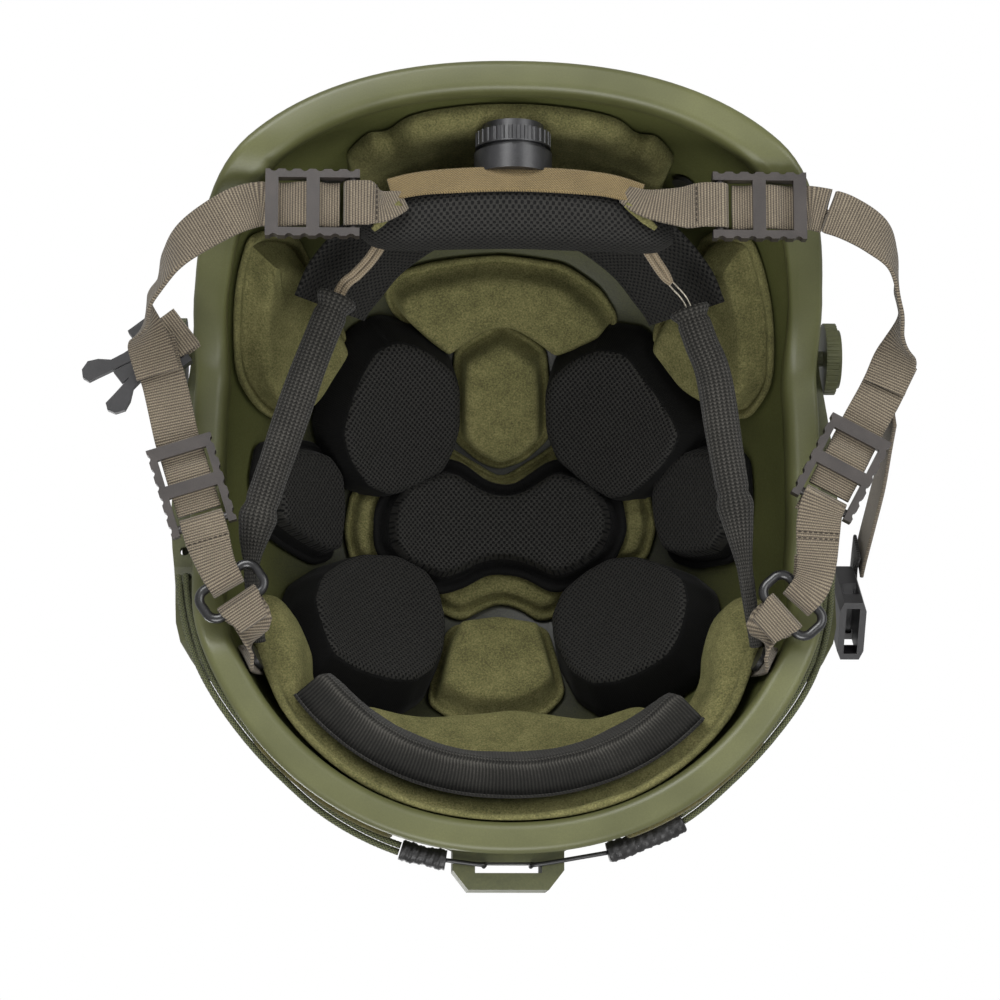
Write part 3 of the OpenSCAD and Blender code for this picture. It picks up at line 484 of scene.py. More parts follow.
def edge_rubber(looks):
    """Smooth olive rubber, a little cloudy."""
    rubber = Finish("edge_rubber", 0.4)
    patches = rubber.noise(30, 2)
    grain = rubber.noise(0.6, 2)
    share = rubber.total((patches, 0.7), (grain, 0.3))
    rubber.colours(share, (0.3, "#515333"), (0.55, "#5b5d3a"), (0.75, "#666841"))
    rubber.rough(patches, 0.32, 0.46)
    rubber.bump(grain, 0.04, 0.5)
    return rubber.material


def velour(looks):
    """Brushed olive pile."""
    cloth = Finish("velour", 0.95, Sheen_Weight=0.35, Sheen_Roughness=0.45, Sheen_Tint=linear("#8a8d55"))
    pile = cloth.noise(looks.pile_size / MM, 3, 0.7)
    brushed = cloth.noise(7, 3, 0.6)
    broad = cloth.noise(24, 2)
    share = cloth.total((brushed, 0.24), (pile, 0.62), (broad, 0.14))
    cloth.colours(share, (0.34, "#3d3c20"), (0.46, "#5f5d36"), (0.56, "#757147"), (0.68, "#918b5b"))
    cloth.bump(pile, 0.5, 0.8)
    return cloth.material


def pad_mesh(looks):
    """Spacer mesh: rows of small oval holes, each row shifted by half a hole."""
    cloth = Finish("pad_mesh", 0.7, Specular_IOR_Level=0.22, Sheen_Weight=0.04, Sheen_Roughness=0.5)
    along, across = cloth.weave()
    hole, row = looks.hole_pitch / MM, looks.row_pitch / MM
    odd = cloth.math("FLOOR", cloth.math("MULTIPLY", across, 1000 / row))
    shift = cloth.math("MULTIPLY", odd, math.pi)
    holes = cloth.math("SINE", cloth.math("ADD", cloth.math("MULTIPLY", along, 2000 * math.pi / hole), shift))
    rows = cloth.math("SINE", cloth.math("MULTIPLY", across, 1000 * math.pi / row))
    depth = cloth.math("MULTIPLY", cloth.between(holes, -0.2, 0.9), cloth.math("ABSOLUTE", rows))
    grain = cloth.noise(0.7, 2)
    share = cloth.math("ADD", cloth.total((depth, -0.7), (grain, 0.55)), 0.42)
    cloth.colours(share, (0.12, "#020202"), (0.42, "#0f0f0e"), (0.8, "#2e2d2a"))
    cloth.bump(cloth.math("SUBTRACT", cloth.math("MULTIPLY", grain, 0.3), depth), 0.45)
    return cloth.material


def pad_wall(looks):
    """Black side wall of a comfort pad, with fine upright ribs."""
    cloth = Finish("pad_wall", 0.8, Specular_IOR_Level=0.15, Sheen_Weight=0.03, Sheen_Roughness=0.5)
    ribs = cloth.wave(cloth.weave()[0], 0.8)
    grain = cloth.noise(0.8)
    cloth.colours(cloth.total((ribs, 0.3), (grain, 0.6)), (0.2, "#070707"), (0.75, "#141413"))
    cloth.bump(ribs, 0.12, 0.5)
    return cloth.material


def knit(name, light, middle, dark, wale, course, depth, sheen=0.08):
    """Rib knit: columns of V-shaped stitches along the cloth."""
    cloth = Finish(name, 0.85, Specular_IOR_Level=0.2, Sheen_Weight=sheen, Sheen_Roughness=0.5)
    along, across = cloth.weave()
    column = cloth.math("FRACT", cloth.math("MULTIPLY", across, 1000 / wale))
    lean = cloth.math("ABSOLUTE", cloth.math("SUBTRACT", column, 0.5))
    stitch = cloth.math("ADD", cloth.math("MULTIPLY", along, 2000 * math.pi / course),
                        cloth.math("MULTIPLY", lean, 2 * math.pi))
    loops = cloth.math("MULTIPLY_ADD", cloth.math("SINE", stitch), 0.5, 0.5)
    ribs = cloth.math("SUBTRACT", 1.0, cloth.math("MULTIPLY", lean, 2.0))
    body = cloth.total((ribs, 0.55), (loops, 0.45))
    grain = cloth.noise(0.5, 2, 0.7)
    broad = cloth.noise(14, 2)
    share = cloth.total((body, 0.5), (grain, 0.35), (broad, 0.2))
    cloth.colours(share, (0.2, dark), (0.5, middle), (0.85, light))
    cloth.bump(cloth.math("MULTIPLY_ADD", grain, 0.25, body), depth, 0.9)
    return cloth.material


WEBBING_COLOURS = ((0.22, "#2f2921"), (0.42, "#5b5144"), (0.6, "#7a6f5d"), (0.85, "#9d927c"))
BLACK_COLOURS = ((0.22, "#121111"), (0.5, "#211f1e"), (0.8, "#343130"))


def webbing_cloth(looks, name="webbing", colours=WEBBING_COLOURS):
    """Ribbed webbing: thick ribs across the strap, made of fine threads."""
    cloth = Finish(name, 0.8, Sheen_Weight=0.15, Sheen_Roughness=0.5)
    along, across = cloth.weave()
    rib = looks.rib_pitch / MM
    ribs = cloth.wave(along, rib)
    odd = cloth.math("MULTIPLY", cloth.math("FLOOR", cloth.math("MULTIPLY", along, 1000 / rib)), math.pi)
    thread = cloth.math("SINE", cloth.math("MULTIPLY_ADD", across, 2000 * math.pi / 0.85, odd))
    thread = cloth.math("MULTIPLY_ADD", thread, 0.5, 0.5)
    grain = cloth.noise(0.5, 2, 0.7)
    broad = cloth.noise(16, 2)
    cloth.colours(cloth.total((thread, 0.14), (ribs, 0.34), (grain, 0.4), (broad, 0.12)), *colours)
    cloth.bump(cloth.math("MULTIPLY_ADD", thread, 0.25, ribs), 0.28, 0.9)
    return cloth.material


def twill(looks):
    """Tan twill: fine slanted ridges broken by the cross threads."""
    cloth = Finish("tan_cloth", 0.82, Sheen_Weight=0.15, Sheen_Roughness=0.5)
    along, across = cloth.weave()
    slant = cloth.wave(cloth.math("ADD", along, cloth.math("MULTIPLY", across, 0.8)), 0.95)
    cross = cloth.wave(across, 0.8)
    grain = cloth.noise(0.5, 2, 0.7)
    broad = cloth.noise(10, 2)
    share = cloth.total((cross, 0.14), (slant, 0.3), (grain, 0.36), (broad, 0.2))
    cloth.colours(share, (0.25, "#4a3d28"), (0.5, "#75643f"), (0.75, "#937e56"))
    cloth.bump(cloth.math("ADD", slant, cross), 0.14, 0.8)
    return cloth.material


def moulded(name, low, high, roughness, grain_mm, depth, coat=0.0):
    """Moulded plastic with a fine spark-eroded grain and a little dust and rub."""
    plastic = Finish(name, roughness, Coat_Weight=coat, Coat_Roughness=0.25)
    grain = plastic.noise(grain_mm, 2)
    rub = plastic.noise(9, 3, 0.6)
    plastic.colours(plastic.total((rub, 0.6), (grain, 0.4)), (0.3, low), (0.7, high))
    plastic.rough(rub, roughness - 0.08, roughness + 0.12)
    plastic.bump(grain, depth, 0.7)
    return plastic.material


def bungee_cord(looks):
    """Braided sheath: olive strands with dark crossings."""
    braid = Finish("bungee_cord", 0.7, Sheen_Weight=0.1)
    along, across = braid.weave()
    left = braid.wave(braid.math("ADD", along, across), 1.3)
    right = braid.wave(braid.math("SUBTRACT", along, across), 1.3)
    body = braid.math("MAXIMUM", left, right)
    grain = braid.noise(0.4, 2)
    share = braid.total((body, 0.6), (grain, 0.3))
    braid.colours(share, (0.3, "#1f2213"), (0.6, "#4b5030"), (0.85, "#6d7049"))
    braid.bump(body, 0.25, 0.9)
    return braid.material


def shrink_sleeve(looks):
    """Black shrink tube drawn in wrinkles over the cords."""
    sleeve = Finish("shrink_sleeve", 0.42)
    folds = sleeve.noise(2.4, 3, 0.6, (1.0, 1.0, 0.4))
    sleeve.colours(folds, (0.3, "#141414"), (0.7, "#2c2b2b"))
    sleeve.rough(folds, 0.32, 0.55)
    sleeve.bump(folds, 0.6, 0.7)
    return sleeve.material


def loop_tape(looks):
    """Olive loop tape."""
    tape = Finish("loop_tape", 0.95, Sheen_Weight=0.3, Sheen_Roughness=0.4)
    loops = tape.noise(0.8, 4, 0.8)
    broad = tape.noise(6, 2)
    share = tape.total((loops, 0.7), (broad, 0.3))
    tape.colours(share, (0.3, "#3a371c"), (0.55, "#635d33"), (0.75, "#837b4b"))
    tape.bump(loops, 0.8, 0.9)
    return tape.material


def steel_wire(looks):
    """Bright scratched wire."""
    wire = Finish("steel_wire", 0.28, Metallic=1.0)
    scratches = wire.noise(0.6, 2)
    wire.colours(scratches, (0.3, "#8d887d"), (0.7, "#c9c2b2"))
    wire.rough(scratches, 0.22, 0.42)
    return wire.material


FINISHES = {
    "shell_paint": shell_paint,
    "edge_rubber": edge_rubber,
    "velour": velour,
    "pad_mesh": pad_mesh,
    "pad_wall": pad_wall,
    "knit_fabric": lambda looks: knit("knit_fabric", "#54524d", "#252421", "#060605", 1.5, 1.3, 0.45),
    "lace_cord": lambda looks: knit("lace_cord", "#b3a58c", "#8f8069", "#4a4031", 1.1, 1.0, 0.3, 0.2),
    "webbing": webbing_cloth,
    "black_webbing": lambda looks: webbing_cloth(looks, "black_webbing", BLACK_COLOURS),
    "tan_cloth": twill,
    "bungee_cord": bungee_cord,
    "shrink_sleeve": shrink_sleeve,
    "loop_tape": loop_tape,
    "steel_wire": steel_wire,
}
MOULDED = {
    "thread": ("#241f19", "#3d352b", 0.8, 0.4, 0.05),
    "rail_plastic": ("#42452a", "#575936", 0.5, 0.8, 0.06),
    "slide_plastic": ("#2b2725", "#403a37", 0.4, 0.5, 0.03, 0.15),
    "buckle_plastic": ("#161617", "#29282a", 0.42, 0.5, 0.03, 0.1),
    "dial_plastic": ("#1b1b1d", "#343436", 0.3, 0.7, 0.02, 0.3),
    "black_steel": ("#171718", "#2c2c2d", 0.35, 0.5, 0.02, 0.2),
    "loop_wire": ("#131314", "#232324", 0.26, 0.8, 0.01, 0.4),
}
made = {}


def finish(name):
    """The finish of that name, made once."""
    if name not in made:
        if name in MOULDED:
            made[name] = moulded(name, *MOULDED[name])
        else:
            made[name] = FINISHES[name](bpy.context.scene.helmet_looks)
    return made[name]


# Pads

class PadPlane:
    """Flat drawing plane in front of a pad: its points map to the skin along rays from the shell's middle."""

    def __init__(self, spots):
        spots = np.asarray(spots, float)
        self.axis = unit(spots.mean(axis=0) - EYE)
        self.depth = float(np.mean((spots - EYE) @ self.axis))
        side = np.array([1.0, 0.0, 0.0])
        self.right = unit(side - self.axis * (side @ self.axis))
        self.up = np.cross(self.axis, self.right)

    def flat(self, spots):
        """Places on the plane of spots near the skin."""
        spots = np.asarray(spots, float)
        rays = spots - EYE
        rays = rays * (self.depth / (rays @ self.axis))[..., None]
        return np.stack([rays @ self.right, rays @ self.up], axis=-1)

    def lift(self, flat, off):
        """Points of the skin at off, from places on the plane."""
        way = self.axis * self.depth + flat[..., :1] * self.right + flat[..., 1:] * self.up
        return crossing(EYE, unit(way), off)


def eased(loop, passes):
    """Closed loop with its tight bends eased, so that an inner line of a pad doesn't cross itself."""
    for _ in range(passes):
        loop = loop * 0.5 + (np.roll(loop, 1, axis=0) + np.roll(loop, -1, axis=0)) * 0.25
    return loop


def inward(outline):
    """Unit normals to the inside of a closed outline."""
    step = np.roll(outline, -1, axis=0) - np.roll(outline, 1, axis=0)
    normal = unit(np.stack([-step[:, 1], step[:, 0]], axis=1))
    area = np.sum(outline[:, 0] * np.roll(outline[:, 1], -1) - np.roll(outline[:, 0], -1) * outline[:, 1])
    return normal if area > 0 else -normal


def pad(name, node, spots, back, profile, crown, corner, cloth, wall_rings=0, wobble=0.35, count=120,
        seed=0.0):
    """Pad on the skin. Its profile is (inset, rise) pairs from the back edge to the face's edge, and the
    face then swells to crown. The first wall_rings rings take the finish pad_wall."""
    plane = PadPlane(spots)
    outline = rounded(plane.flat(spots), corner, count)
    normal = inward(outline)
    middle = outline.mean(axis=0)
    rings, drawn = [], []
    for inset, rise in profile:
        drawn.append((eased(outline + normal * inset, int(inset * 1.6)), np.full(count, rise)))
    edge, rise = drawn[-1][0], profile[-1][1]
    for share in (0.94, 0.86, 0.74, 0.6, 0.44, 0.27, 0.12):
        height = rise + (crown - rise) * (1 - share ** 2.2)
        drawn.append((middle + (edge - middle) * share, np.full(count, height)))
    for flat, height in drawn:
        lift = height + wander(np.hstack([flat, np.zeros((count, 1))]), 16, wobble, seed) * (height > 1)
        rings.append(plane.lift(flat, back + lift))
    start = plane.lift(middle[None], np.array([back]))[0]
    end = plane.lift(middle[None], np.array([back + crown]))[0]
    points, faces = capped(rings, start, end)
    weave = np.vstack([flat for flat, _ in drawn] + [middle[None], middle[None]])
    along = along_length(np.hstack([outline, np.zeros((count, 1))]))
    for j in range(wall_rings):
        weave[j * count:(j + 1) * count] = np.stack([along, np.full(count, profile[j][1])], axis=1)
    piece(name, points, faces, node, cloth, weave, wall=wall_rings * count)


def block_profile(thick, edge=4.2, draw=0.8):
    """Straight side wall that draws in a little, then a rounded edge onto the face."""
    top = thick - edge
    arc = [(draw + edge * (1 - math.cos(math.radians(a))), top + edge * math.sin(math.radians(a)) * 0.92)
           for a in range(0, 91, 15)]
    return [(0.9, 0.0), (0.0, 0.8), (0.1, top * 0.35), (draw * 0.5, top * 0.75)] + arc


def flanged_profile(flange, flange_t, thick, edge=3.0):
    """Thin flange, a groove beside it, then the raised part with its rounded edge."""
    top = thick - edge
    rim = [(0.6, 0.0), (0.0, 0.7), (0.3, flange_t * 0.8), (1.0, flange_t), (flange * 0.75, flange_t),
           (flange, flange_t * 0.55), (flange + 0.8, flange_t * 0.6)]
    rise = [(flange + 1.2, flange_t + (top - flange_t) * 0.55), (flange + 1.5, top)]
    arc = [(flange + 1.5 + edge * (1 - math.cos(math.radians(a))), top + edge * math.sin(math.radians(a)))
           for a in range(20, 91, 14)]
    return rim + rise + arc


# Outlines of the pads on the inside of the shell, in millimetres
HEX_T = 21.0
HEX_PADS = {
    "comfort_pad_rear_left": [
        [46, 76, 72], [34, 74, 78], [21, 67, 86], [17, 58, 91], [17, 42, 98], [20, 31, 100], [25, 22, 101],
        [37, 14, 98], [49, 10, 93], [59, 13, 87], [67, 24, 79], [70, 35, 74], [64, 57, 72], [56, 70, 70]],
    "comfort_pad_rear_right": [
        [-42, 74, 75], [-53, 71, 71], [-63, 59, 72], [-73, 43, 69], [-77, 34, 67], [-73, 25, 73],
        [-65, 16, 82], [-56, 10, 88], [-48, 9, 94], [-36, 17, 98], [-24, 28, 100], [-19, 40, 98],
        [-18, 55, 92], [-21, 64, 87], [-31, 71, 81]],
    "comfort_pad_front_left": [
        [60, -15, 85], [45, -14, 95], [32, -20, 100], [26, -29, 100], [23, -43, 97], [24, -56, 91],
        [29, -67, 83], [37, -73, 75], [46, -73, 69], [62, -70, 59], [73, -64, 51], [78, -51, 54],
        [81, -39, 56], [78, -27, 66], [69, -19, 78]],
    "comfort_pad_front_right": [
        [-37, -20, 98], [-47, -15, 94], [-58, -15, 87], [-71, -21, 75], [-78, -29, 65], [-79, -40, 59],
        [-75, -54, 56], [-70, -62, 55], [-61, -69, 60], [-48, -74, 67], [-37, -74, 74], [-28, -67, 84],
        [-22, -53, 93], [-21, -41, 98], [-26, -29, 100]],
}
SIDE_PADS = {
    "comfort_pad_side_left": [
        [92, 23, 52], [82, 29, 67], [70, 29, 80], [63, 20, 86], [62, 4, 88], [64, -15, 87], [71, -18, 80],
        [83, -13, 67], [91, -8, 54], [94, 9, 49]],
    "comfort_pad_side_right": [
        [-62, 21, 88], [-67, 28, 83], [-77, 31, 73], [-85, 28, 63], [-92, 19, 53], [-92, 3, 52],
        [-90, -12, 55], [-86, -19, 62], [-73, -19, 78], [-65, -15, 86], [-61, -3, 89], [-60, 11, 90]],
}
SIDE_T = 13.0
CENTRE_PAD = [
    [48, 4, 86], [42, 17, 88], [24, 26, 93], [15, 25, 95], [4, 17, 97], [-5, 16, 98], [-18, 25, 95],
    [-24, 26, 93], [-39, 19, 89], [-46, 9, 86], [-48, -3, 86], [-43, -15, 88], [-30, -24, 93], [-20, -26, 95],
    [-8, -19, 98], [4, -18, 98], [14, -24, 96], [23, -27, 94], [41, -20, 88], [48, -10, 86]]
CENTRE_BACK = LINER_BACK + 9.4


def comfort_pads():
    """Four six-sided pads, two in the sides and the lobed one in the middle."""
    for k, (node, outline) in enumerate(HEX_PADS.items()):
        pad(node + "_cloth", node, outline, LINER_BACK, block_profile(HEX_T), HEX_T * 1.05, 3,
            "pad_mesh", 6, seed=k)
    for k, (node, outline) in enumerate(SIDE_PADS.items()):
        pad(node + "_cloth", node, outline, LINER_BACK, flanged_profile(2.0, 2.4, SIDE_T, 3),
            SIDE_T * 1.1, 4, "pad_mesh", 7, seed=5 + k)
    pad("comfort_pad_centre_cloth", "comfort_pad_centre", CENTRE_PAD, CENTRE_BACK,
        flanged_profile(3.6, 2.2, 13, 2.6), 13.8, 4, "pad_mesh", 7, seed=9, count=160)


# Outline and thickness of the pads under the comfort pads
CROWN_PADS = {
    "crown_liner_rear": ([
        [46, 87, 69], [41, 93, 66], [28, 97, 66], [1, 100, 66], [-24, 97, 67], [-38, 88, 71], [-45, 78, 76],
        [-43, 73, 80], [-33, 69, 86], [-22, 66, 91], [-12, 73, 88], [0, 79, 85], [10, 74, 88], [22, 66, 91],
        [32, 72, 85], [43, 80, 76]], 12.0),
    "crown_liner_centre": ([
        [0, 79, 85], [-18, 69, 90], [-20, 53, 98], [-20, 36, 103], [-10, 27, 106], [0, 24, 108], [8, 27, 107],
        [18, 35, 104], [19, 52, 98], [18, 69, 90]], 13.0),
    "crown_liner_front": ([
        [19, -38, 104], [0, -35, 106], [-19, -39, 104], [-23, -55, 97], [-25, -66, 90], [-17, -75, 86],
        [0, -79, 84], [18, -77, 84], [28, -70, 86], [26, -56, 95], [23, -46, 100]], 14.0),
    "crown_liner_base": ([
        [58, 13, 93], [61, -3, 92], [58, -15, 93], [39, -20, 103], [23, -33, 105], [15, -37, 106],
        [7, -32, 108], [0, -29, 109], [-8, -31, 108], [-16, -37, 106], [-24, -34, 105], [-40, -18, 103],
        [-57, -14, 94], [-61, -2, 92], [-58, 15, 93], [-40, 24, 101], [-24, 36, 103], [-16, 30, 106],
        [-1, 21, 109], [15, 30, 106], [23, 35, 104], [39, 23, 101]], 7.0),
}
SIDE_LINERS = {
    "side_liner_left": [
        [77, 97, 27], [93, 87, -7], [96, 78, 6], [99, 61, 23], [98, 44, 34], [92, 36, 51], [83, 33, 64],
        [72, 45, 74], [60, 65, 75], [59, 70, 72], [66, 81, 59], [73, 92, 41]],
    "side_liner_right": [
        [-73, 100, 30], [-87, 93, 8], [-93, 82, 16], [-97, 63, 26], [-98, 43, 36], [-91, 33, 53],
        [-84, 38, 62], [-73, 48, 72], [-60, 65, 75], [-57, 72, 73], [-63, 83, 60], [-70, 93, 43]],
}


def liner_pads():
    """Velour pads in the crown and in the sides."""
    for k, (node, (outline, thick)) in enumerate(CROWN_PADS.items()):
        edge = min(3.4, thick * 0.4)
        pad(node + "_velour", node, outline, LINER_BACK, flanged_profile(2.0, 2.2, thick, edge),
            thick * 1.05, 4, "velour", wobble=0.5, seed=11 + k, count=150)
    for node, outline in SIDE_LINERS.items():
        pad(node + "_velour", node, outline, LINER_BACK, flanged_profile(3.2, 2.6, 13, 3.6),
            14, 8, "velour", wobble=0.8, seed=20, count=150)


def band(name, node, rows, back, section, cloth, end_draw=0.35, steps=14, wobble=0.3, seed=0.0):
    """Soft band on the skin. Rows hold an angle, a low and a high edge, and may hold a thickness share and a
    step away from the skin. The section is (share, rise)."""
    rows = [list(r) + [1, 0][len(r) - 3:] for r in rows]
    stations = through(rows, steps)
    n = len(stations) - 1
    rings, weave = [], []
    middle_line = skin(stations[:, 0], (stations[:, 1] + stations[:, 2]) / 2, back)
    along = along_length(middle_line)
    for i, (angle, low, high, thickness, away) in enumerate(stations):
        end = math.sqrt(max(0.0, 1 - abs(2 * i / n - 1) ** 14))
        grow = (end_draw + (1 - end_draw) * end) * thickness
        centre = (low + high) / 2
        narrow = 0.72 + 0.28 * end
        low = centre + (low - centre) * narrow
        high = centre + (high - centre) * narrow
        ring = []
        for share, rise in section:
            swell = wander(np.array([along[i], share * 30, 0.0]), 15, wobble, seed)
            lift = max(0.0, rise * grow + swell * grow) if rise else 0.0
            ring.append(skin(angle, low + (high - low) * share, back + away + lift))
            weave.append([along[i], (high - low) * share])
        rings.append(ring)
    points, faces = capped(rings)
    weave += [[0, 0], [along[-1], 0]]
    piece(name, points, faces, node, cloth, weave)


def arch(thick, box=0.6, points=15):
    """Section of a padded band: a flat back and a rounded face, boxier with a smaller box."""
    back = [(s, 0.0) for s in np.linspace(0, 1, 5)]
    face = [(0.5 + 0.5 * signed_power(math.cos(t), box), thick * math.sin(t) ** box)
            for t in np.linspace(0.1, math.pi - 0.1, points)]
    return back + face


# Sections of the bands: share of the way from the low to the high edge, and rise
BROW_T = 14.0
BROW_LINER_T = 8.0
BROW_SECTION = [(0, 0), (0.25, 0), (0.5, 0), (0.75, 0), (1, 0), (0.99, 2.5), (0.93, 5.4), (0.82, 7.4),
                (0.65, 8.3), (0.45, 8.5), (0.27, 8.2), (0.18, 7.2), (0.13, 5.6), (0.105, 3.4), (0.09, 2.2),
                (0.06, 2.6), (0.02, 2.6), (-0.01, 1.8), (-0.01, 0.5)]
REAR_SECTION = [(0, 0), (0.25, 0), (0.5, 0), (0.75, 0), (1, 0), (1.0, 8), (0.96, 14), (0.86, 17.4),
                (0.72, 18), (0.6, 16.5), (0.5, 11.5), (0.42, 9), (0.28, 8.6), (0.14, 8.4), (0.05, 7.4),
                (0.0, 4.5)]


def rim_pads():
    """Rear cushion, brow liner in two parts and the brow pad with its flap."""
    rear = [[59, -12, 28], [64, -22, 34], [68, -20, 36], [73, -29, 38], [83, -32, 42], [90, -33, 42],
            [97, -32, 42], [107, -29, 38], [112, -20, 36], [116, -22, 34], [121, -12, 28]]
    band("rear_liner_velour", "rear_liner_pad", rear, LINER_BACK, REAR_SECTION, "velour", seed=3,
         wobble=0.9, end_draw=0.6)
    brow = [[-163, 27, 37, 1.3, 3.4], [-156, 23, 44, 1.5, 3.4], [-147, 16, 46, 1.4, 3],
            [-137, 10, 42, 1.1, 1.2], [-115, 3, 48, 1, 0], [-90, 1, 50, 1, 0], [-65, 3, 48, 1, 0],
            [-43, 10, 42, 1.1, 1.2], [-33, 16, 46, 1.4, 3], [-24, 23, 44, 1.5, 3.4],
            [-17, 27, 37, 1.3, 3.4]]
    band("brow_liner_velour", "brow_liner", brow, BROW_BACK, BROW_SECTION, "velour", seed=4, wobble=0.7)
    upper = [[-130, 44, 58], [-116, 46, 67], [-103, 48, 76], [-90, 49, 80], [-77, 48, 76], [-64, 46, 67],
             [-50, 44, 58]]
    band("brow_liner_upper_velour", "brow_liner", upper, LINER_BACK, arch(13), "velour", seed=8, wobble=0.7)
    front = [[-134, 10, 23], [-112, 4, 27], [-90, 2, 28], [-66, 4, 27], [-40, 10, 23]]
    back = BROW_BACK + BROW_LINER_T * 1.1
    band("brow_pad_knit", "brow_pad", front, back, arch(BROW_T, 0.38), "knit_fabric", seed=6, wobble=0.5,
         end_draw=0.75)
    flap = [[a, low - 2.4, low + 8] for a, low, _ in front]
    band("brow_pad_flap", "brow_pad", flap, back - 0.9, arch(1.0, 0.3), "knit_fabric", wobble=0.25,
         end_draw=0.9)


# Shell and what is fixed on its outside

RING_POINTS = 200
SHELL_RINGS = 34
EDGE_CURVE = 3.0


def painted_shell():
    """Outer and inner skin of the shell, with its inside marked for the paint's painted shade deep in the
    crown.
    """
    around = ring_angles(RING_POINTS)
    outer, inner = [], []
    for j in range(SHELL_RINGS):
        share = math.sin(math.pi / 2 * j / SHELL_RINGS)
        for off, rings in ((0.0, outer), (SHELL_WALL, inner)):
            low = rim_height(skin(around, 0, off)[:, 1])
            rings.append(skin(around, low + (SHELL_H - off - low) * share, off))
    top = np.array([0, MID_Y, SHELL_H])
    points, faces = capped(outer[::-1] + inner, top, top - [0, 0, SHELL_WALL])
    shell = piece("shell_painted", points, faces, "shell", "shell_paint")
    marked = shell.data.attributes.new("inside", "FLOAT", "POINT")
    first = len(outer) * RING_POINTS
    marked.data.foreach_set("value", [float(first <= i != len(points) - 2) for i in range(len(points))])


def edging():
    """Rubber edging over the rim, with a round lower face."""
    out, inside = -TRIM_GAP, SHELL_WALL + TRIM_GAP
    low = EDGE_CURVE - TRIM_GAP - TRIM_WALL
    section = [(out, TRIM_H), (out, -TRIM_GAP), (inside, -TRIM_GAP), (inside, TRIM_H)]
    section += [(inside + 0.5 * TRIM_WALL, TRIM_H + 0.3), (inside + TRIM_WALL, TRIM_H - 0.4)]
    bend = [(1 - math.cos(t), low - EDGE_CURVE * math.sin(t)) for t in np.radians(range(0, 91, 15))]
    section += [(inside + TRIM_WALL - EDGE_CURVE * x, z) for x, z in bend]
    section += [(out - TRIM_WALL + EDGE_CURVE * x, z) for x, z in bend[::-1]]
    section += [(out - TRIM_WALL, TRIM_H - 0.4), (out - 0.5 * TRIM_WALL, TRIM_H + 0.3)]
    around = ring_angles(RING_POINTS)
    loops = np.array([rim_point(around, off, up) for off, up in section])
    faces = grid_faces(len(section), RING_POINTS)
    last = (len(section) - 1) * RING_POINTS
    for i in range(RING_POINTS):
        k = (i + 1) % RING_POINTS
        faces.append((last + i, last + k, k, i))
    piece("edge_trim_moulded", loops.reshape(-1, 3), faces, "edge_trim", "edge_rubber")


# Angles at which each shrink sleeve starts and ends, and its height and place off the skin
SLEEVE_FROM = (-73.0, -119.0)
SLEEVE_TO = (-80.5, -105.5)
CORD_LEVEL = 12.0
CORD_OFF = -5.5
STRAND_STEP = (0.0, 2.5)
BUNGEE_R = 1.2
# Angle from the front, height and place off the skin along a bungee, from its rear end at the rail
CORD_RUN = [[80, 31, -5.5], [74, 24, -4.6], [66, 14, -3.4], [58, 6.5, -2.1], [50, 8.5, -1.5], [40, 12, -1.7],
            [30, 12, -3.0], [15, 12, -4.2], [5, 12, -4.2]]
HOOK_R = 0.8
HOOK_Y = -136.2


def braid(along, turn):
    """Relief of the crossing strands of a braided sheath."""
    return 0.14 * np.maximum(np.sin(4 * turn + along * 2.6), np.sin(4 * turn - along * 2.6)) - 0.1


def shrunk(along, turn):
    """Relief of the wrinkles of a shrink sleeve."""
    return 0.16 * np.sin(along * 1.9 + np.sin(turn * 2) * 1.6) + 0.1 * np.sin(along * 4.3 + 3 * turn)


def bungees():
    """Two elastic strands a side, from the rail's front end to the sleeve."""
    run = through(CORD_RUN, 12)[::-1]
    for k, (node, side) in enumerate((("bungee_left", 1), ("bungee_right", -1))):
        end = SLEEVE_FROM[k] + 0.2 * side
        from_front = np.linspace(CORD_RUN[0][0], abs(end + 90), 200)
        heights = np.interp(from_front, run[:, 0], run[:, 1])
        offs = np.interp(from_front, run[:, 0], run[:, 2])
        for j, step in enumerate(STRAND_STEP):
            path = np.array([skin(a, z, o - step) for a, z, o in zip(-90 + side * from_front, heights, offs)])
            cord(tube("%s_strand_%d" % (node, j + 1), path, BUNGEE_R, node, "bungee_cord", 12, braid), path)


def sleeves_and_hooks():
    """The shrink sleeve on each pair of strands, and the wire hook from it into the shroud's slot."""
    for k, side in enumerate((1, -1)):
        path = skin(np.linspace(SLEEVE_FROM[k], SLEEVE_TO[k], 60), CORD_LEVEL, CORD_OFF)
        swell = 3.55 + 0.25 * np.sin(np.linspace(0, 9, 60))
        tube("shrink_sleeve_%d" % (k + 1), path, swell, "bungee_sleeves", "shrink_sleeve", 20, shrunk)
        start = path[-1]
        reach = np.array([10.0 * side, HOOK_Y, 12.0])
        corner = reach + [-1.5 * side, 0, 3]
        rows = [start, start + (reach - start) * 0.5, start + (reach - start) * 0.85,
                reach + [-side, 0, 0.5], corner, corner + [0, 0, 5], corner + [0, 0, 11]]
        tube("wire_hook_%d" % (k + 1), through(rows, 8), HOOK_R, "wire_hooks", "black_steel")


PATCH_ANGLE = (-56, -124)
PATCH_OUTLINE = ((-15, 7), (15, 7), (14, 40), (9, 58), (-9, 58), (-14, 40))


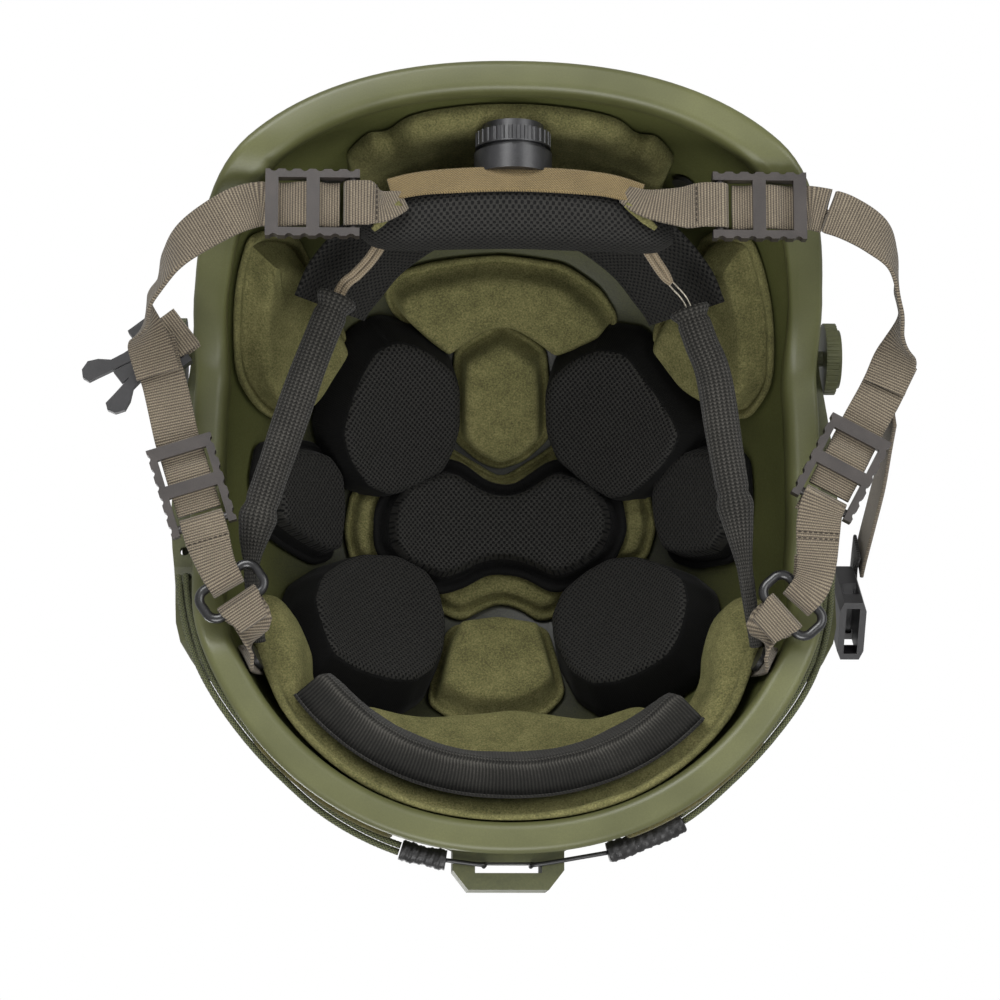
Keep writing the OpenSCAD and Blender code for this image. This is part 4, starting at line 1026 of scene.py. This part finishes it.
def loop_tape_patches():
    """Soft tape on the outside, at an angle and height for each corner."""
    for k, angle in enumerate(PATCH_ANGLE):
        spots = skin([angle + a for a, _ in PATCH_OUTLINE], [z for _, z in PATCH_OUTLINE], -0.8)
        plane = PadPlane(spots)
        outline = rounded(plane.flat(spots), 5, 90)
        normal = inward(outline)
        middle = outline.mean(axis=0)
        rings = [plane.lift(outline + normal * inset, -rise)
                 for inset, rise in ((0.5, 0.3), (0.0, 0.5), (0.0, 2.2), (0.6, 2.8))]
        for share in (0.8, 0.55, 0.3):
            rings.append(plane.lift(middle + (outline - middle) * share, -2.9))
        points, faces = capped(rings)
        piece("loop_patch_%d" % (k + 1), points, faces, "loop_patches", "loop_tape")


# Fit band

def nape():
    """Mesh cushion under the dial."""
    stations = through([[54, 87, 0.3], [49, 88.5, 0.66], [40, 90, 0.86], [20, 92.5, 1], [0, 93.3, 1.03],
                        [-20, 92.5, 1], [-41, 90, 0.86], [-51, 87.5, 0.66], [-57, 86, 0.3]], 12)
    turn = np.linspace(0, 2 * math.pi, 40, endpoint=False)
    rings, weave = [], []
    for x, y, size in stations:
        ring = np.stack([np.full(40, x), y + 12.6 * size * signed_power(np.cos(turn), 0.85),
                         -29 + 11.4 * size * signed_power(np.sin(turn), 0.8)], axis=1)
        rings.append(ring + np.outer(wander(ring, 17, 0.4, 2.0), [0, 0, 1]))
        weave += [[x, 12 * t] for t in turn]
    points, faces = capped(rings)
    piece("nape_pad_mesh", points, faces, "nape_pad", "pad_mesh", weave + [[0, 0], [0, 0]])


def occipital_band():
    """Headband behind the nape cushion."""
    rows = [[66, 70, 24, -0.5, -0.3, 0.8], [60, 80, 20, -0.5, -0.4, 0.8], [48, 92, 14, -0.4, -0.4, 0.85],
            [27, 101, 8, -0.15, -0.3, 0.95], [0, 104, 6, 0, -0.2, 1], [-27, 101, 8, 0.15, -0.3, 0.95],
            [-48, 92, 14, 0.4, -0.4, 0.85], [-61, 79, 20, 0.5, -0.4, 0.8], [-67, 69, 24, 0.5, -0.3, 0.8]]
    strip("occipital_band_cloth", "occipital_band", rows, "pad_mesh", 38, 1.6, 8)


LACE_ROUTES = ([[46.4, 84.4, -20.6], [51, 79, -14], [56, 75, -8], [61, 71, -4], [67, 57, -3], [73, 42, -2]],
               [[-47.4, 84.4, -20.6], [-53, 78, -14], [-58, 73, -8], [-64, 67, -4], [-68, 56, -3],
                [-73, 44, -2]])
SLEEVE_ROUTES = ([[62.5, 68, -3.5], [69, 52, -2.7], [75, 36, -1], [83, 12, 2], [91, -13, 5], [93, -33, 9],
                  [90.2, -55.9, 15.8]],
                 [[-65, 64.5, -3.7], [-69.5, 52, -2.7], [-74, 40, -1.5], [-78, 16, 1], [-82, -8, 3],
                  [-86, -34, 6], [-90.2, -56.6, 15.4]])
SLEEVE_R = 6.5
LACE_R = 1.15


def knitted(along, turn):
    """Relief of a knitted sleeve's ribs and its slack."""
    return 0.12 * np.sin(14 * turn + 0.05 * along) + 0.2 * np.sin(along / 9 + 2 * turn)


def laces():
    """Each pulling cord runs doubled. The right one ends in a loop, and two thin wires go on from it."""
    for k, route in enumerate(LACE_ROUTES):
        middle = through(route, 12)
        share = 1.0 if k == 0 else 0.42
        rows = middle[:int(len(middle) * share)]
        side = unit(np.cross(rows[-1] - rows[0], UP))
        gap = LACE_R * (1 - np.linspace(0, 1, len(rows)) ** 8)
        for j, way in enumerate((1, -1)):
            path = rows + side * (gap * way)[:, None]
            obj = tube("lace_cord_%d_%d" % (k + 1, j + 1), path, LACE_R, "lace_cords", "lace_cord", 12)
            if k == 0:
                cord(obj, path)
            if k == 1:
                wire = middle[len(rows) - 3:] + side * way * 0.9
                tube("lace_wire_%d" % (j + 1), wire, 0.35, "nape", "steel_wire", 8)
    for node, route in zip(("lace_sleeve_left", "lace_sleeve_right"), SLEEVE_ROUTES):
        path = through(route, 22)
        t = np.linspace(0, 1, len(path))
        narrow = 1 - 0.6 * ease(0.66, 0.82, t)
        cuff = 0.2 * np.exp(-((t - 0.022) / 0.022) ** 2) + 0.1 * np.exp(-((t - 0.66) / 0.02) ** 2)
        draw = -0.1 * np.exp(-((t - 0.065) / 0.012) ** 2) - 0.08 * np.exp(-((t - 0.63) / 0.01) ** 2)
        radius = SLEEVE_R * narrow * (0.97 + cuff + draw)
        tube(node + "_knit", path, radius, node, "knit_fabric", 28, knitted)


# Webbing

def strip(name, node, rows, cloth="webbing", wide=WEB_W, thick=WEB_T, steps=12, taper=(1, 1)):
    """Webbing or a flat band along rows of a place and the way its width lies. The taper is its width's share
    along its length."""
    rows = through(rows, steps)
    half, t = wide / 2, thick / 2
    across = np.linspace(-1, 1, 13)
    top = [(s * (half - 0.35), t) for s in across]
    side = [(half - 0.08, t * 0.6), (half, 0.0), (half - 0.08, -t * 0.6)]
    profile = np.array(top + side + [(-a, -b) for a, b in top] + [(-a, -b) for a, b in side])
    widths = np.interp(np.linspace(0, 1, len(rows)), np.linspace(0, 1, len(taper)), taper)
    shaped = np.tile(profile, (len(rows), 1, 1))
    shaped[..., 0] *= widths[:, None]
    points, faces = capped(swept(rows, shaped))
    along = along_length(rows)
    weave = [[u, p[0]] for u in along for p in profile] + [[along[0], 0], [along[-1], 0]]
    obj = piece(name, points, faces, node, cloth, weave)
    return obj


THREAD_FACES = grid_faces(3, 4) + [(0, 3, 2, 1), (8, 9, 10, 11)]


def stitches(name, body, middle, way, wide, count=7, lines=1, gap=3.0):
    """Lines of dark stitches across a strap, as short proud threads."""
    middle, way, wide = np.array(middle, float), unit(way), unit(wide)
    flat = unit(np.cross(way, wide))
    points, faces = [], []
    for line in range(lines):
        for i in range(count):
            at = middle + way * (line - (lines - 1) / 2) * gap + wide * (i - (count - 1) / 2) * 1.9
            start = len(points)
            for along in (-0.65, 0.0, 0.65):
                size = 0.28 if along == 0 else 0.16
                for a in (0, 90, 180, 270):
                    t = math.radians(a)
                    points.append(at + wide * along + (way * math.cos(t) + flat * math.sin(t)) * size)
            faces += [tuple(start + i for i in face) for face in THREAD_FACES]
    piece(name, points, faces, body, "thread")


THIRD_BAR_D = 3.0
TIGHT_TURN = THIRD_BAR_D / 2 + SEAT + WEB_T / 2
WEB_IN_LOCK = 0.6 + SEAT + WEB_T / 2
# Place of a slide's bar and the angle at which its strap leaves
REAR_LOCKS = ((57, 91, -46, 0), (-72, 91.5, -46, 180))
FRONT_LOCKS = ((109.8, -16.3, -8, 72.4), (-112.4, -7.4, -8, 118))


def row(at, wide):
    """A strip's row: its place and the way its width lies."""
    return [float(v) for v in at] + [float(v) for v in wide]


def lock_way(place):
    """Way from a slide's bar along its strap."""
    return heading(place[3])


def lock_side(place):
    """Way along a slide's bar."""
    return np.cross(UP, lock_way(place))


LOCK_RUN = ((4.5, 0.4), (8.3, 0.0), (12.3, 1.5), (16, 2.1), (19.7, 1.5), (23.7, 0.0), (29, 0.5), (34, 0.0))


def through_lock(place):
    """Webbing behind the slide's two bars and puffed out between them."""
    return [row(np.array(place[:3]) + UP * (WEB_IN_LOCK - puff) + lock_way(place) * x, lock_side(place))
            for x, puff in LOCK_RUN]


def half_turn(at, far, start, r, wide, steps=8):
    """Half turn of webbing round a bar, from the side of start by way of far."""
    at, far, start = (np.asarray(v, float) for v in (at, far, start))
    return [row(at + r * (math.cos(t) * start + math.sin(t) * far), wide)
            for t in np.linspace(0, math.pi, steps + 1)]


def rear_straps():
    """Webbing from each rear slide round the ear to the chin. It bends where it leaves the nape."""
    left = through_lock(REAR_LOCKS[0]) + [
        [100, 87, -47, 0.2, 1, 0], [113, 79, -45, 0.5, 0.8, 0.35], [121, 71, -41, 0.4, 0.5, 0.8],
        [126, 63, -33, 0.1, 0.3, 1], [129.5, 57, -24, 0.1, 0.6, 0.9], [130.5, 51, -16, -0.6, 0.6, 0.3],
        [128.6, 44, -11.6, -0.9, 0.4, 0], [126.4, 37, -10.4, -0.9, 0.4, 0]]
    right = through_lock(REAR_LOCKS[1]) + [
        [-116, 88, -47, -0.2, 1, 0], [-127, 82, -45, -0.5, 0.8, 0.3], [-134, 74, -40, -0.3, 0.5, 0.8],
        [-137, 62, -32, -0.1, 0.2, 1], [-139.2, 54, -24, -0.1, 0.5, 0.9], [-139.5, 47, -16.5, 0.5, 0.7, 0.3],
        [-137, 40, -12.6, 0.9, 0.45, 0], [-134.5, 34, -11.4, 0.9, 0.45, 0]]
    for node, rows, side in (("rear_strap_left", left, 1), ("rear_strap_right", right, -1)):
        obj = strip(node + "_webbing", node, rows)
        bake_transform(obj)


LOOP_DEEP = 15.0
LOOP_WIRE = 3.5
LOOP_FAR = ((102.5, -36, -8), (-105, -41, -8))
LOOP_TURN = (55.2, 138.6)
SLACK_TURN = LOOP_WIRE / 2 + 1.8 + WEB_T / 2
NEAR_TURN = LOOP_WIRE / 2 + SEAT + WEB_T / 2
MALE_AT = np.array([124, 50.5, -3.5])
MALE_TURN = -37.7


def loop_way(k):
    """Way from a wire loop's far bar to its near one."""
    return heading(LOOP_TURN[k] + 180)


def loop_wide(k):
    """Way along a wire loop's bars."""
    return np.cross(UP, heading(LOOP_TURN[k]))


def loop_near(k):
    """Middle of a wire loop's near bar."""
    return np.array(LOOP_FAR[k]) + loop_way(k) * (LOOP_DEEP - LOOP_WIRE)


def bent(start, start_way, end, end_way, shares):
    """Rows of webbing along a curve that leaves and arrives along two ways, its width square to it."""
    reach = np.linalg.norm(end - start) * 0.9
    rows = []
    for t in shares:
        at = ((2 * t ** 3 - 3 * t ** 2 + 1) * start + (t ** 3 - 2 * t ** 2 + t) * reach * start_way
              + (3 * t ** 2 - 2 * t ** 3) * end + (t ** 3 - t ** 2) * reach * end_way)
        way = ((6 * t ** 2 - 6 * t) * (start - end) + (3 * t ** 2 - 4 * t + 1) * reach * start_way
               + (3 * t ** 2 - 2 * t) * reach * end_way)
        rows.append(row(at, unit(np.cross(UP, way))))
    return rows


LOOP_ASKEW = (4.0, -6.0)
DRAWN_IN = (0.9, 0.78, 0.78, 0.84, 1, 1, 1, 1)


def lower_strap(k, node):
    """The short webbing from a slide down to its wire loop and back over itself."""
    place = FRONT_LOCKS[k]
    at, far = np.array(place[:3], float), np.array(LOOP_FAR[k], float)
    away = heading(LOOP_TURN[k] + LOOP_ASKEW[k])
    wide = np.cross(UP, away)
    over = bent(far + UP * SLACK_TURN, away, at + UP * 4, lock_way(place), (0.45, 0.3, 0.15))
    under = bent(far + DOWN * SLACK_TURN, away, at + DOWN * TIGHT_TURN, lock_way(place),
                 (0.12, 0.25, 0.38, 0.5, 0.62, 0.75, 0.88))
    rows = over + half_turn(far, -away, UP, SLACK_TURN, wide) + under
    rows += half_turn(at, lock_way(place), DOWN, TIGHT_TURN, lock_side(place))
    rows += [row(at - lock_way(place) * x + UP * TIGHT_TURN, lock_side(place)) for x in (3, 6)]
    strip("%s_lower_%d" % (node, k + 1), node, rows, steps=4, taper=DRAWN_IN)
    seam = under[4]
    stitches("front_stitches_%d" % (k + 1), BODY[node], np.array(seam[:3]) + DOWN * (WEB_T / 2 + 0.05),
             np.cross(seam[3:], UP), seam[3:], 8, 2, 2.2)


def front_straps():
    """Webbing from the loops by way of the slides to the chin, and round the prong half's bar."""
    ends = ([[124, 33, -8, -0.9, 0.4, 0], [126.5, 41, -8, -0.9, 0.4, 0], [129, 51, -8, -0.9, 0.3, 0]],
            [[-133, 31, -9, -0.9, -0.45, 0], [-136.5, 38, -9, -0.9, -0.45, 0],
             [-140, 45, -9, -0.9, -0.45, 0]])
    for k, node in enumerate(("front_strap_left", "front_strap_right")):
        lower_strap(k, node)
        strip(node + "_webbing", node, through_lock(FRONT_LOCKS[k]) + ends[k])
    way = heading(MALE_TURN)
    bar = np.cross(UP, way)
    rows = [row(MALE_AT - way * 9 + DOWN * TIGHT_TURN, bar)] + half_turn(MALE_AT, way, DOWN, TIGHT_TURN, bar)
    rows += [row(MALE_AT - way * 9 + UP * TIGHT_TURN, bar)]
    strip("buckle_webbing", "front_strap_left", rows, steps=4)


ANCHOR_ANGLE = (-29.0, -151.0)
ANCHOR_OFF = BROW_BACK + WEB_T / 2
FANNED = (0.8, 0.7, 0.45, 0.9) + (1.0,) * 9 + (0.7,)


def anchor_straps():
    """Webbing from behind the brow liner, folded round a loop's near bar and back."""
    for k, node in enumerate(("anchor_strap_left", "anchor_strap_right")):
        a = ANCHOR_ANGLE[k]
        side = 1 if k == 0 else -1
        wall = np.cross(UP, heading(a)) * side
        near = loop_near(k)
        wide = loop_wide(k) * side
        rows = [row(skin(a, 25, ANCHOR_OFF), wall), row(skin(a, 9, ANCHOR_OFF), wall),
                [side * 93.3, -63, 0, side * 0.3, 0.9, 0.2],
                row(near + loop_way(k) * 7 + UP * NEAR_TURN, wide)]
        rows += half_turn(near, -loop_way(k), UP, NEAR_TURN, wide)
        rows += [row(near + loop_way(k) * 9 + DOWN * NEAR_TURN, wide)]
        strip(node + "_webbing", node, rows, steps=4, taper=FANNED)


TAB_OUTLINE = ((-20.1, 71.8), (-7.6, 61.7), (-19.0, 50.2), (-21.5, 58.0), (-39.2, 70.6), (-35.8, 75.5))
TAB_X = (-135.0, -133.7)


def wavy(flat):
    """Small waves of a stiff webbing's face."""
    return 0.18 * np.sin(flat[:, 0] / 4.0) + 0.12 * np.sin(flat[:, 1] / 3.0)


def strap_end():
    """The black folded end of the chin webbing."""
    spots = rounded(np.array(TAB_OUTLINE), 1.6, 80)
    normal = inward(spots)
    low, high = TAB_X
    rings = []
    for x, inset in ((low, 0.45), (low + 0.2, 0.1), (low + 0.65, 0.0), (high - 0.2, 0.1), (high, 0.45)):
        flat = spots + normal * inset
        rings.append(np.column_stack([x + wavy(flat), flat]))
    points, faces = capped(rings)
    obj = piece("strap_end_tab_webbing", points, faces, "strap_end_tab", "black_webbing", points[:, 1:])


def chin_webbing():
    """Chin webbing from the sewn end down to the receiving half."""
    rows = [[-139.5, 28, 0.1, 0, 0.85, 0.35], [-139.5, 21, 11, 0, 0.85, 0.5], [-139.3, 9, 27, 0, 0.82, 0.57],
            [-138, -3, 43, 0, 0.8, 0.6], [-136.6, -14, 57, 0, 0.8, 0.6], [-136.2, -19, 63.4, 0, 0.8, 0.6]]
    strip("chin_strap_webbing", "chin_strap", rows)


COVER_FOLDS = (([49.8, 83.4, -40.2], [45.3, 87.6, -42.2], [40.2, 92.6, -42.6]),
               ([-50, 84.8, -40.2], [-44, 89.2, -42.2], [-39.2, 92.8, -42.6]))


SLIDE_TAILS = ([[46, 91, -44.6, 0.2, 0.95, 0.1], [39, 94, -41, 0.5, 0.8, 0]],
               [[-59, 91.5, -45, 0, 1, 0.1], [-47, 93, -43.4, -0.2, 0.95, 0.2],
                [-39, 97, -40.6, -0.5, 0.8, 0.3]])


def nape_strip():
    """Tan strip over the rear edge of the nape cushion, and the webbing that holds both slides to it."""
    middle = [[44, 98, -40, 0, 0.9, 0.4], [30, 101, -39.4, 0, 0.88, 0.5], [0, 102.6, -39.2, 0, 0.86, 0.5],
              [-30, 101, -39.4, 0, 0.88, 0.5], [-45, 97, -40.2, 0, 0.9, 0.4]]
    cover = strip("nape_cover_twill", "nape_cover", middle, "tan_cloth", 12, 1.1, 16, (0.8, 1, 1, 0.8))
    for k, spots in enumerate(COVER_FOLDS):
        rows = [row(at, [0.5 - k, 0.7, -0.5]) for at in spots]
        strip("cover_fold_%d" % (k + 1), "nape_cover", rows, "velour", 3.4, 1.2, 8,
                           (0.5, 1, 0.9, 0.6))
    for k, (place, end) in enumerate(zip(REAR_LOCKS, SLIDE_TAILS)):
        at = np.array(place[:3], float)
        way = lock_way(place)
        bar = [0, 1, 0]
        rows = [row(at - way * 6 + DOWN * TIGHT_TURN, bar)] + end
        rows = rows[::-1] + half_turn(at, way, DOWN, TIGHT_TURN, bar)[:6]
        strip("slide_webbing_%d" % (k + 1), "nape_cover", rows, steps=5, taper=(0.45, 1, 1, 1, 1))
        seam = at - way * 8.5 + DOWN * (TIGHT_TURN + 0.75)
        stitches("slide_stitches_%d" % (k + 1), "nape", seam, way, bar)


# Rigid pieces whose own solids show

RIGID = {
    "rail_plastic": (("rail_left", "rail_right", "rail_knob_left", "rail_knob_right", "front_shroud"), 0.5),
    "black_steel": (("rail_screws", "shroud_screws", "anchor_bolts"), 0.25),
    "dial_plastic": (("dial_base", "dial"), 0.3),
    "slide_plastic": (("ladder_lock_rear_left", "ladder_lock_rear_right", "ladder_lock_front_left",
                       "ladder_lock_front_right"), 0.35),
    "loop_wire": (("d_loop_left", "d_loop_right"), 0.0),
    "buckle_plastic": (("buckle_male", "buckle_female"), 0.45),
}
SMOOTH_ANGLE = math.radians(32)


def rigid_pieces():
    """Gives the solids that stay in view their finish, smooth curves and worn edges."""
    for name, (nodes, edge) in RIGID.items():
        for node in nodes:
            obj = frame["nodes"][node]
            obj.data.materials.clear()
            obj.data.materials.append(finish(name))
            obj.data.polygons.foreach_set("use_smooth", [True] * len(obj.data.polygons))
            obj.data.set_sharp_from_angle(angle=SMOOTH_ANGLE)
            if edge:
                worn = obj.modifiers.new("worn edges", "BEVEL")
                worn.width = edge * MM
                worn.segments = 2
                worn.limit_method = "ANGLE"
                worn.angle_limit = SMOOTH_ANGLE
                worn.harden_normals = False


# Stage

# Metres, and the lens in millimetres, found by fitting the view to the photograph
CAMERA_DISTANCE = 1.1
CAMERA_TILT = math.radians(9.8)
CAMERA_SIDE = math.radians(2.3)
CAMERA_AIM = Vector((0.0036, -0.006, 0.0))
CAMERA_LENS = 109.8
FLOOR_Z = -1.6


LAMPS = (
    ("key", (0.45, 0.95, -1.15), 1.0, 16.0),
    ("fill", (-0.95, 0.1, -1.1), 1.1, 9.0),
    ("front", (0.1, -1.1, -0.8), 0.9, 10.5),
    ("top", (0.5, -0.9, 1.5), 1.2, 14.0),
)
FLOOR_REACH = 6.0
SURROUND = 0.42


def camera(scene):
    """Camera at the photograph's angle."""
    place = CAMERA_DISTANCE * Vector((math.sin(CAMERA_SIDE), -math.sin(CAMERA_TILT), -math.cos(CAMERA_TILT)))
    ahead = (CAMERA_AIM - place).normalized()
    right = ahead.cross(Vector((0, 1, 0))).normalized()
    above = right.cross(ahead)
    data = bpy.data.cameras.new("camera")
    data.lens = CAMERA_LENS
    data.sensor_width = 36
    data.clip_end = 20
    obj = bpy.data.objects.new("camera", data)
    axes = Matrix((right, above, -ahead)).transposed()
    obj.matrix_world = Matrix.Translation(place) @ axes.to_4x4()
    scene.collection.objects.link(obj)
    scene.camera = obj


def lamps(scene):
    """Soft round lamps that look at the helmet."""
    for name, at, size, watts in LAMPS:
        light = bpy.data.lights.new(name, "AREA")
        light.shape = "DISK"
        light.size = size
        light.energy = watts
        obj = bpy.data.objects.new(name, light)
        obj.location = at
        obj.rotation_euler = (-Vector(at)).to_track_quat("-Z", "Y").to_euler()
        scene.collection.objects.link(obj)


def floor(scene):
    """Pale floor that the camera sees as white."""
    mesh = bpy.data.meshes.new("floor")
    corners = [(x * FLOOR_REACH, y * FLOOR_REACH, FLOOR_Z) for x, y in ((-1, -1), (1, -1), (1, 1), (-1, 1))]
    mesh.from_pydata(corners, [], [(0, 1, 2, 3)])
    obj = bpy.data.objects.new("floor", mesh)
    scene.collection.objects.link(obj)
    mesh.materials.append(white_for_camera("floor", 0.8))


def surround(scene):
    """White surround that gives less light than the camera sees."""
    world = scene.world or bpy.data.worlds.new("world")
    scene.world = world
    world.use_nodes = True
    nodes, links = world.node_tree.nodes, world.node_tree.links
    nodes.clear()
    output = nodes.new("ShaderNodeOutputWorld")
    mix = nodes.new("ShaderNodeMixShader")
    links.new(white_rays(nodes, links), mix.inputs[0])
    for i, strength in enumerate((SURROUND, 1.0)):
        light = nodes.new("ShaderNodeBackground")
        light.inputs["Color"].default_value = (1, 1, 1, 1)
        light.inputs["Strength"].default_value = strength
        links.new(light.outputs[0], mix.inputs[1 + i])
    links.new(mix.outputs[0], output.inputs[0])


def white_rays(nodes, links):
    """1 for camera and transmission rays."""
    path = nodes.new("ShaderNodeLightPath")
    first = nodes.new("ShaderNodeMath")
    first.operation = "MAXIMUM"
    links.new(path.outputs["Is Camera Ray"], first.inputs[0])
    links.new(path.outputs["Is Transmission Ray"], first.inputs[1])
    return first.outputs[0]


def white_for_camera(name, grey):
    """Material that is white to the camera and a dull grey to all other light."""
    material = bpy.data.materials.new(name)
    material.use_nodes = True
    nodes, links = material.node_tree.nodes, material.node_tree.links
    surface = nodes["Principled BSDF"]
    surface.inputs["Base Color"].default_value = (grey, grey, grey, 1)
    surface.inputs["Roughness"].default_value = 0.9
    glow = nodes.new("ShaderNodeEmission")
    mix = nodes.new("ShaderNodeMixShader")
    links.new(white_rays(nodes, links), mix.inputs[0])
    links.new(surface.outputs[0], mix.inputs[1])
    links.new(glow.outputs[0], mix.inputs[2])
    links.new(mix.outputs[0], nodes["Material Output"].inputs[0])
    return material


def stage():
    """Camera, lamps, floor and surround."""
    scene = bpy.context.scene
    camera(scene)
    lamps(scene)
    floor(scene)
    surround(scene)
    scene.view_settings.view_transform = "Standard"


class HelmetLooks(bpy.types.PropertyGroup):
    """Sizes of the weaves, the pile and the paint's texture."""

    peel_size: bpy.props.FloatProperty(name="Paint texture", description="Size of the paint's bumps",
                                       default=0.0011, min=0.0005, max=0.003, precision=4, unit="LENGTH")
    pile_size: bpy.props.FloatProperty(name="Velour pile", description="Size of the tufts of the velour",
                                       default=0.0007, min=0.0003, max=0.002, precision=4, unit="LENGTH")
    rib_pitch: bpy.props.FloatProperty(name="Webbing ribs", description="Distance between the webbing's ribs",
                                       default=0.001, min=0.0006, max=0.002, precision=4, unit="LENGTH")
    hole_pitch: bpy.props.FloatProperty(name="Mesh holes", description="Distance between the mesh's holes",
                                        default=0.0022, min=0.0015, max=0.004, precision=4, unit="LENGTH")
    row_pitch: bpy.props.FloatProperty(name="Mesh rows", description="Distance between the mesh's rows",
                                       default=0.0012, min=0.0008, max=0.003, precision=4, unit="LENGTH")


class HELMET_OT_stage(bpy.types.Operator):
    """Sets the camera, lamps, floor and surround"""

    bl_idname = "helmet.stage"
    bl_label = "Stage"

    def execute(self, context):
        stage()
        return {"FINISHED"}


class HELMET_OT_shell(bpy.types.Operator):
    """Models the painted shell and the edging on its rim"""

    bl_idname = "helmet.shell"
    bl_label = "Shell and edging"

    def execute(self, context):
        painted_shell()
        edging()
        return {"FINISHED"}


class HELMET_OT_outside(bpy.types.Operator):
    """Models the bungee cords, their sleeves and hooks, and the loop patches"""

    bl_idname = "helmet.outside"
    bl_label = "Bungees and patches"

    def execute(self, context):
        bungees()
        sleeves_and_hooks()
        loop_tape_patches()
        return {"FINISHED"}


class HELMET_OT_liner(bpy.types.Operator):
    """Models the velour impact pads"""

    bl_idname = "helmet.liner"
    bl_label = "Impact liner"

    def execute(self, context):
        liner_pads()
        rim_pads()
        return {"FINISHED"}


class HELMET_OT_comfort(bpy.types.Operator):
    """Models the black comfort pads"""

    bl_idname = "helmet.comfort"
    bl_label = "Comfort pads"

    def execute(self, context):
        comfort_pads()
        return {"FINISHED"}


class HELMET_OT_fit_band(bpy.types.Operator):
    """Models the nape cushion, its strip, the headband and the pulling cords in their sleeves"""

    bl_idname = "helmet.fit_band"
    bl_label = "Fit band"

    def execute(self, context):
        nape()
        nape_strip()
        occipital_band()
        laces()
        return {"FINISHED"}


class HELMET_OT_harness(bpy.types.Operator):
    """Models the webbing of the chin harness"""

    bl_idname = "helmet.harness"
    bl_label = "Chin harness"

    def execute(self, context):
        rear_straps()
        front_straps()
        anchor_straps()
        chin_webbing()
        strap_end()
        return {"FINISHED"}


class HELMET_OT_rigid(bpy.types.Operator):
    """Finishes the rails, buckles, slides, loops, dial and fasteners"""

    bl_idname = "helmet.rigid"
    bl_label = "Rigid pieces"

    def execute(self, context):
        rigid_pieces()
        return {"FINISHED"}


class HELMET_PT_panel(bpy.types.Panel):
    """Lists the helmet's pieces and settings"""

    bl_idname = "HELMET_PT_panel"
    bl_label = "Combat helmet"
    bl_space_type = "VIEW_3D"
    bl_region_type = "UI"
    bl_category = "Helmet"

    def draw(self, context):
        looks = context.scene.helmet_looks
        for name in ("peel_size", "pile_size", "rib_pitch", "hole_pitch", "row_pitch"):
            self.layout.prop(looks, name)
        for operator in OPERATORS:
            self.layout.operator(operator.bl_idname)


OPERATORS = (HELMET_OT_stage, HELMET_OT_shell, HELMET_OT_outside, HELMET_OT_liner, HELMET_OT_comfort,
             HELMET_OT_fit_band, HELMET_OT_harness, HELMET_OT_rigid)
CLASSES = (HelmetLooks,) + OPERATORS + (HELMET_PT_panel,)


def register():
    """Adds the settings, operators and panel."""
    for cls in CLASSES:
        bpy.utils.register_class(cls)
    bpy.types.Scene.helmet_looks = bpy.props.PointerProperty(type=HelmetLooks)


def unregister():
    """Takes them out again."""
    del bpy.types.Scene.helmet_looks
    for cls in reversed(CLASSES):
        bpy.utils.unregister_class(cls)


def main():
    """Builds everything."""
    register()
    bpy.ops.helmet.stage()
    bpy.ops.helmet.shell()
    bpy.ops.helmet.outside()
    bpy.ops.helmet.liner()
    bpy.ops.helmet.comfort()
    bpy.ops.helmet.fit_band()
    bpy.ops.helmet.harness()
    bpy.ops.helmet.rigid()


if __name__ == "__main__":
    main()
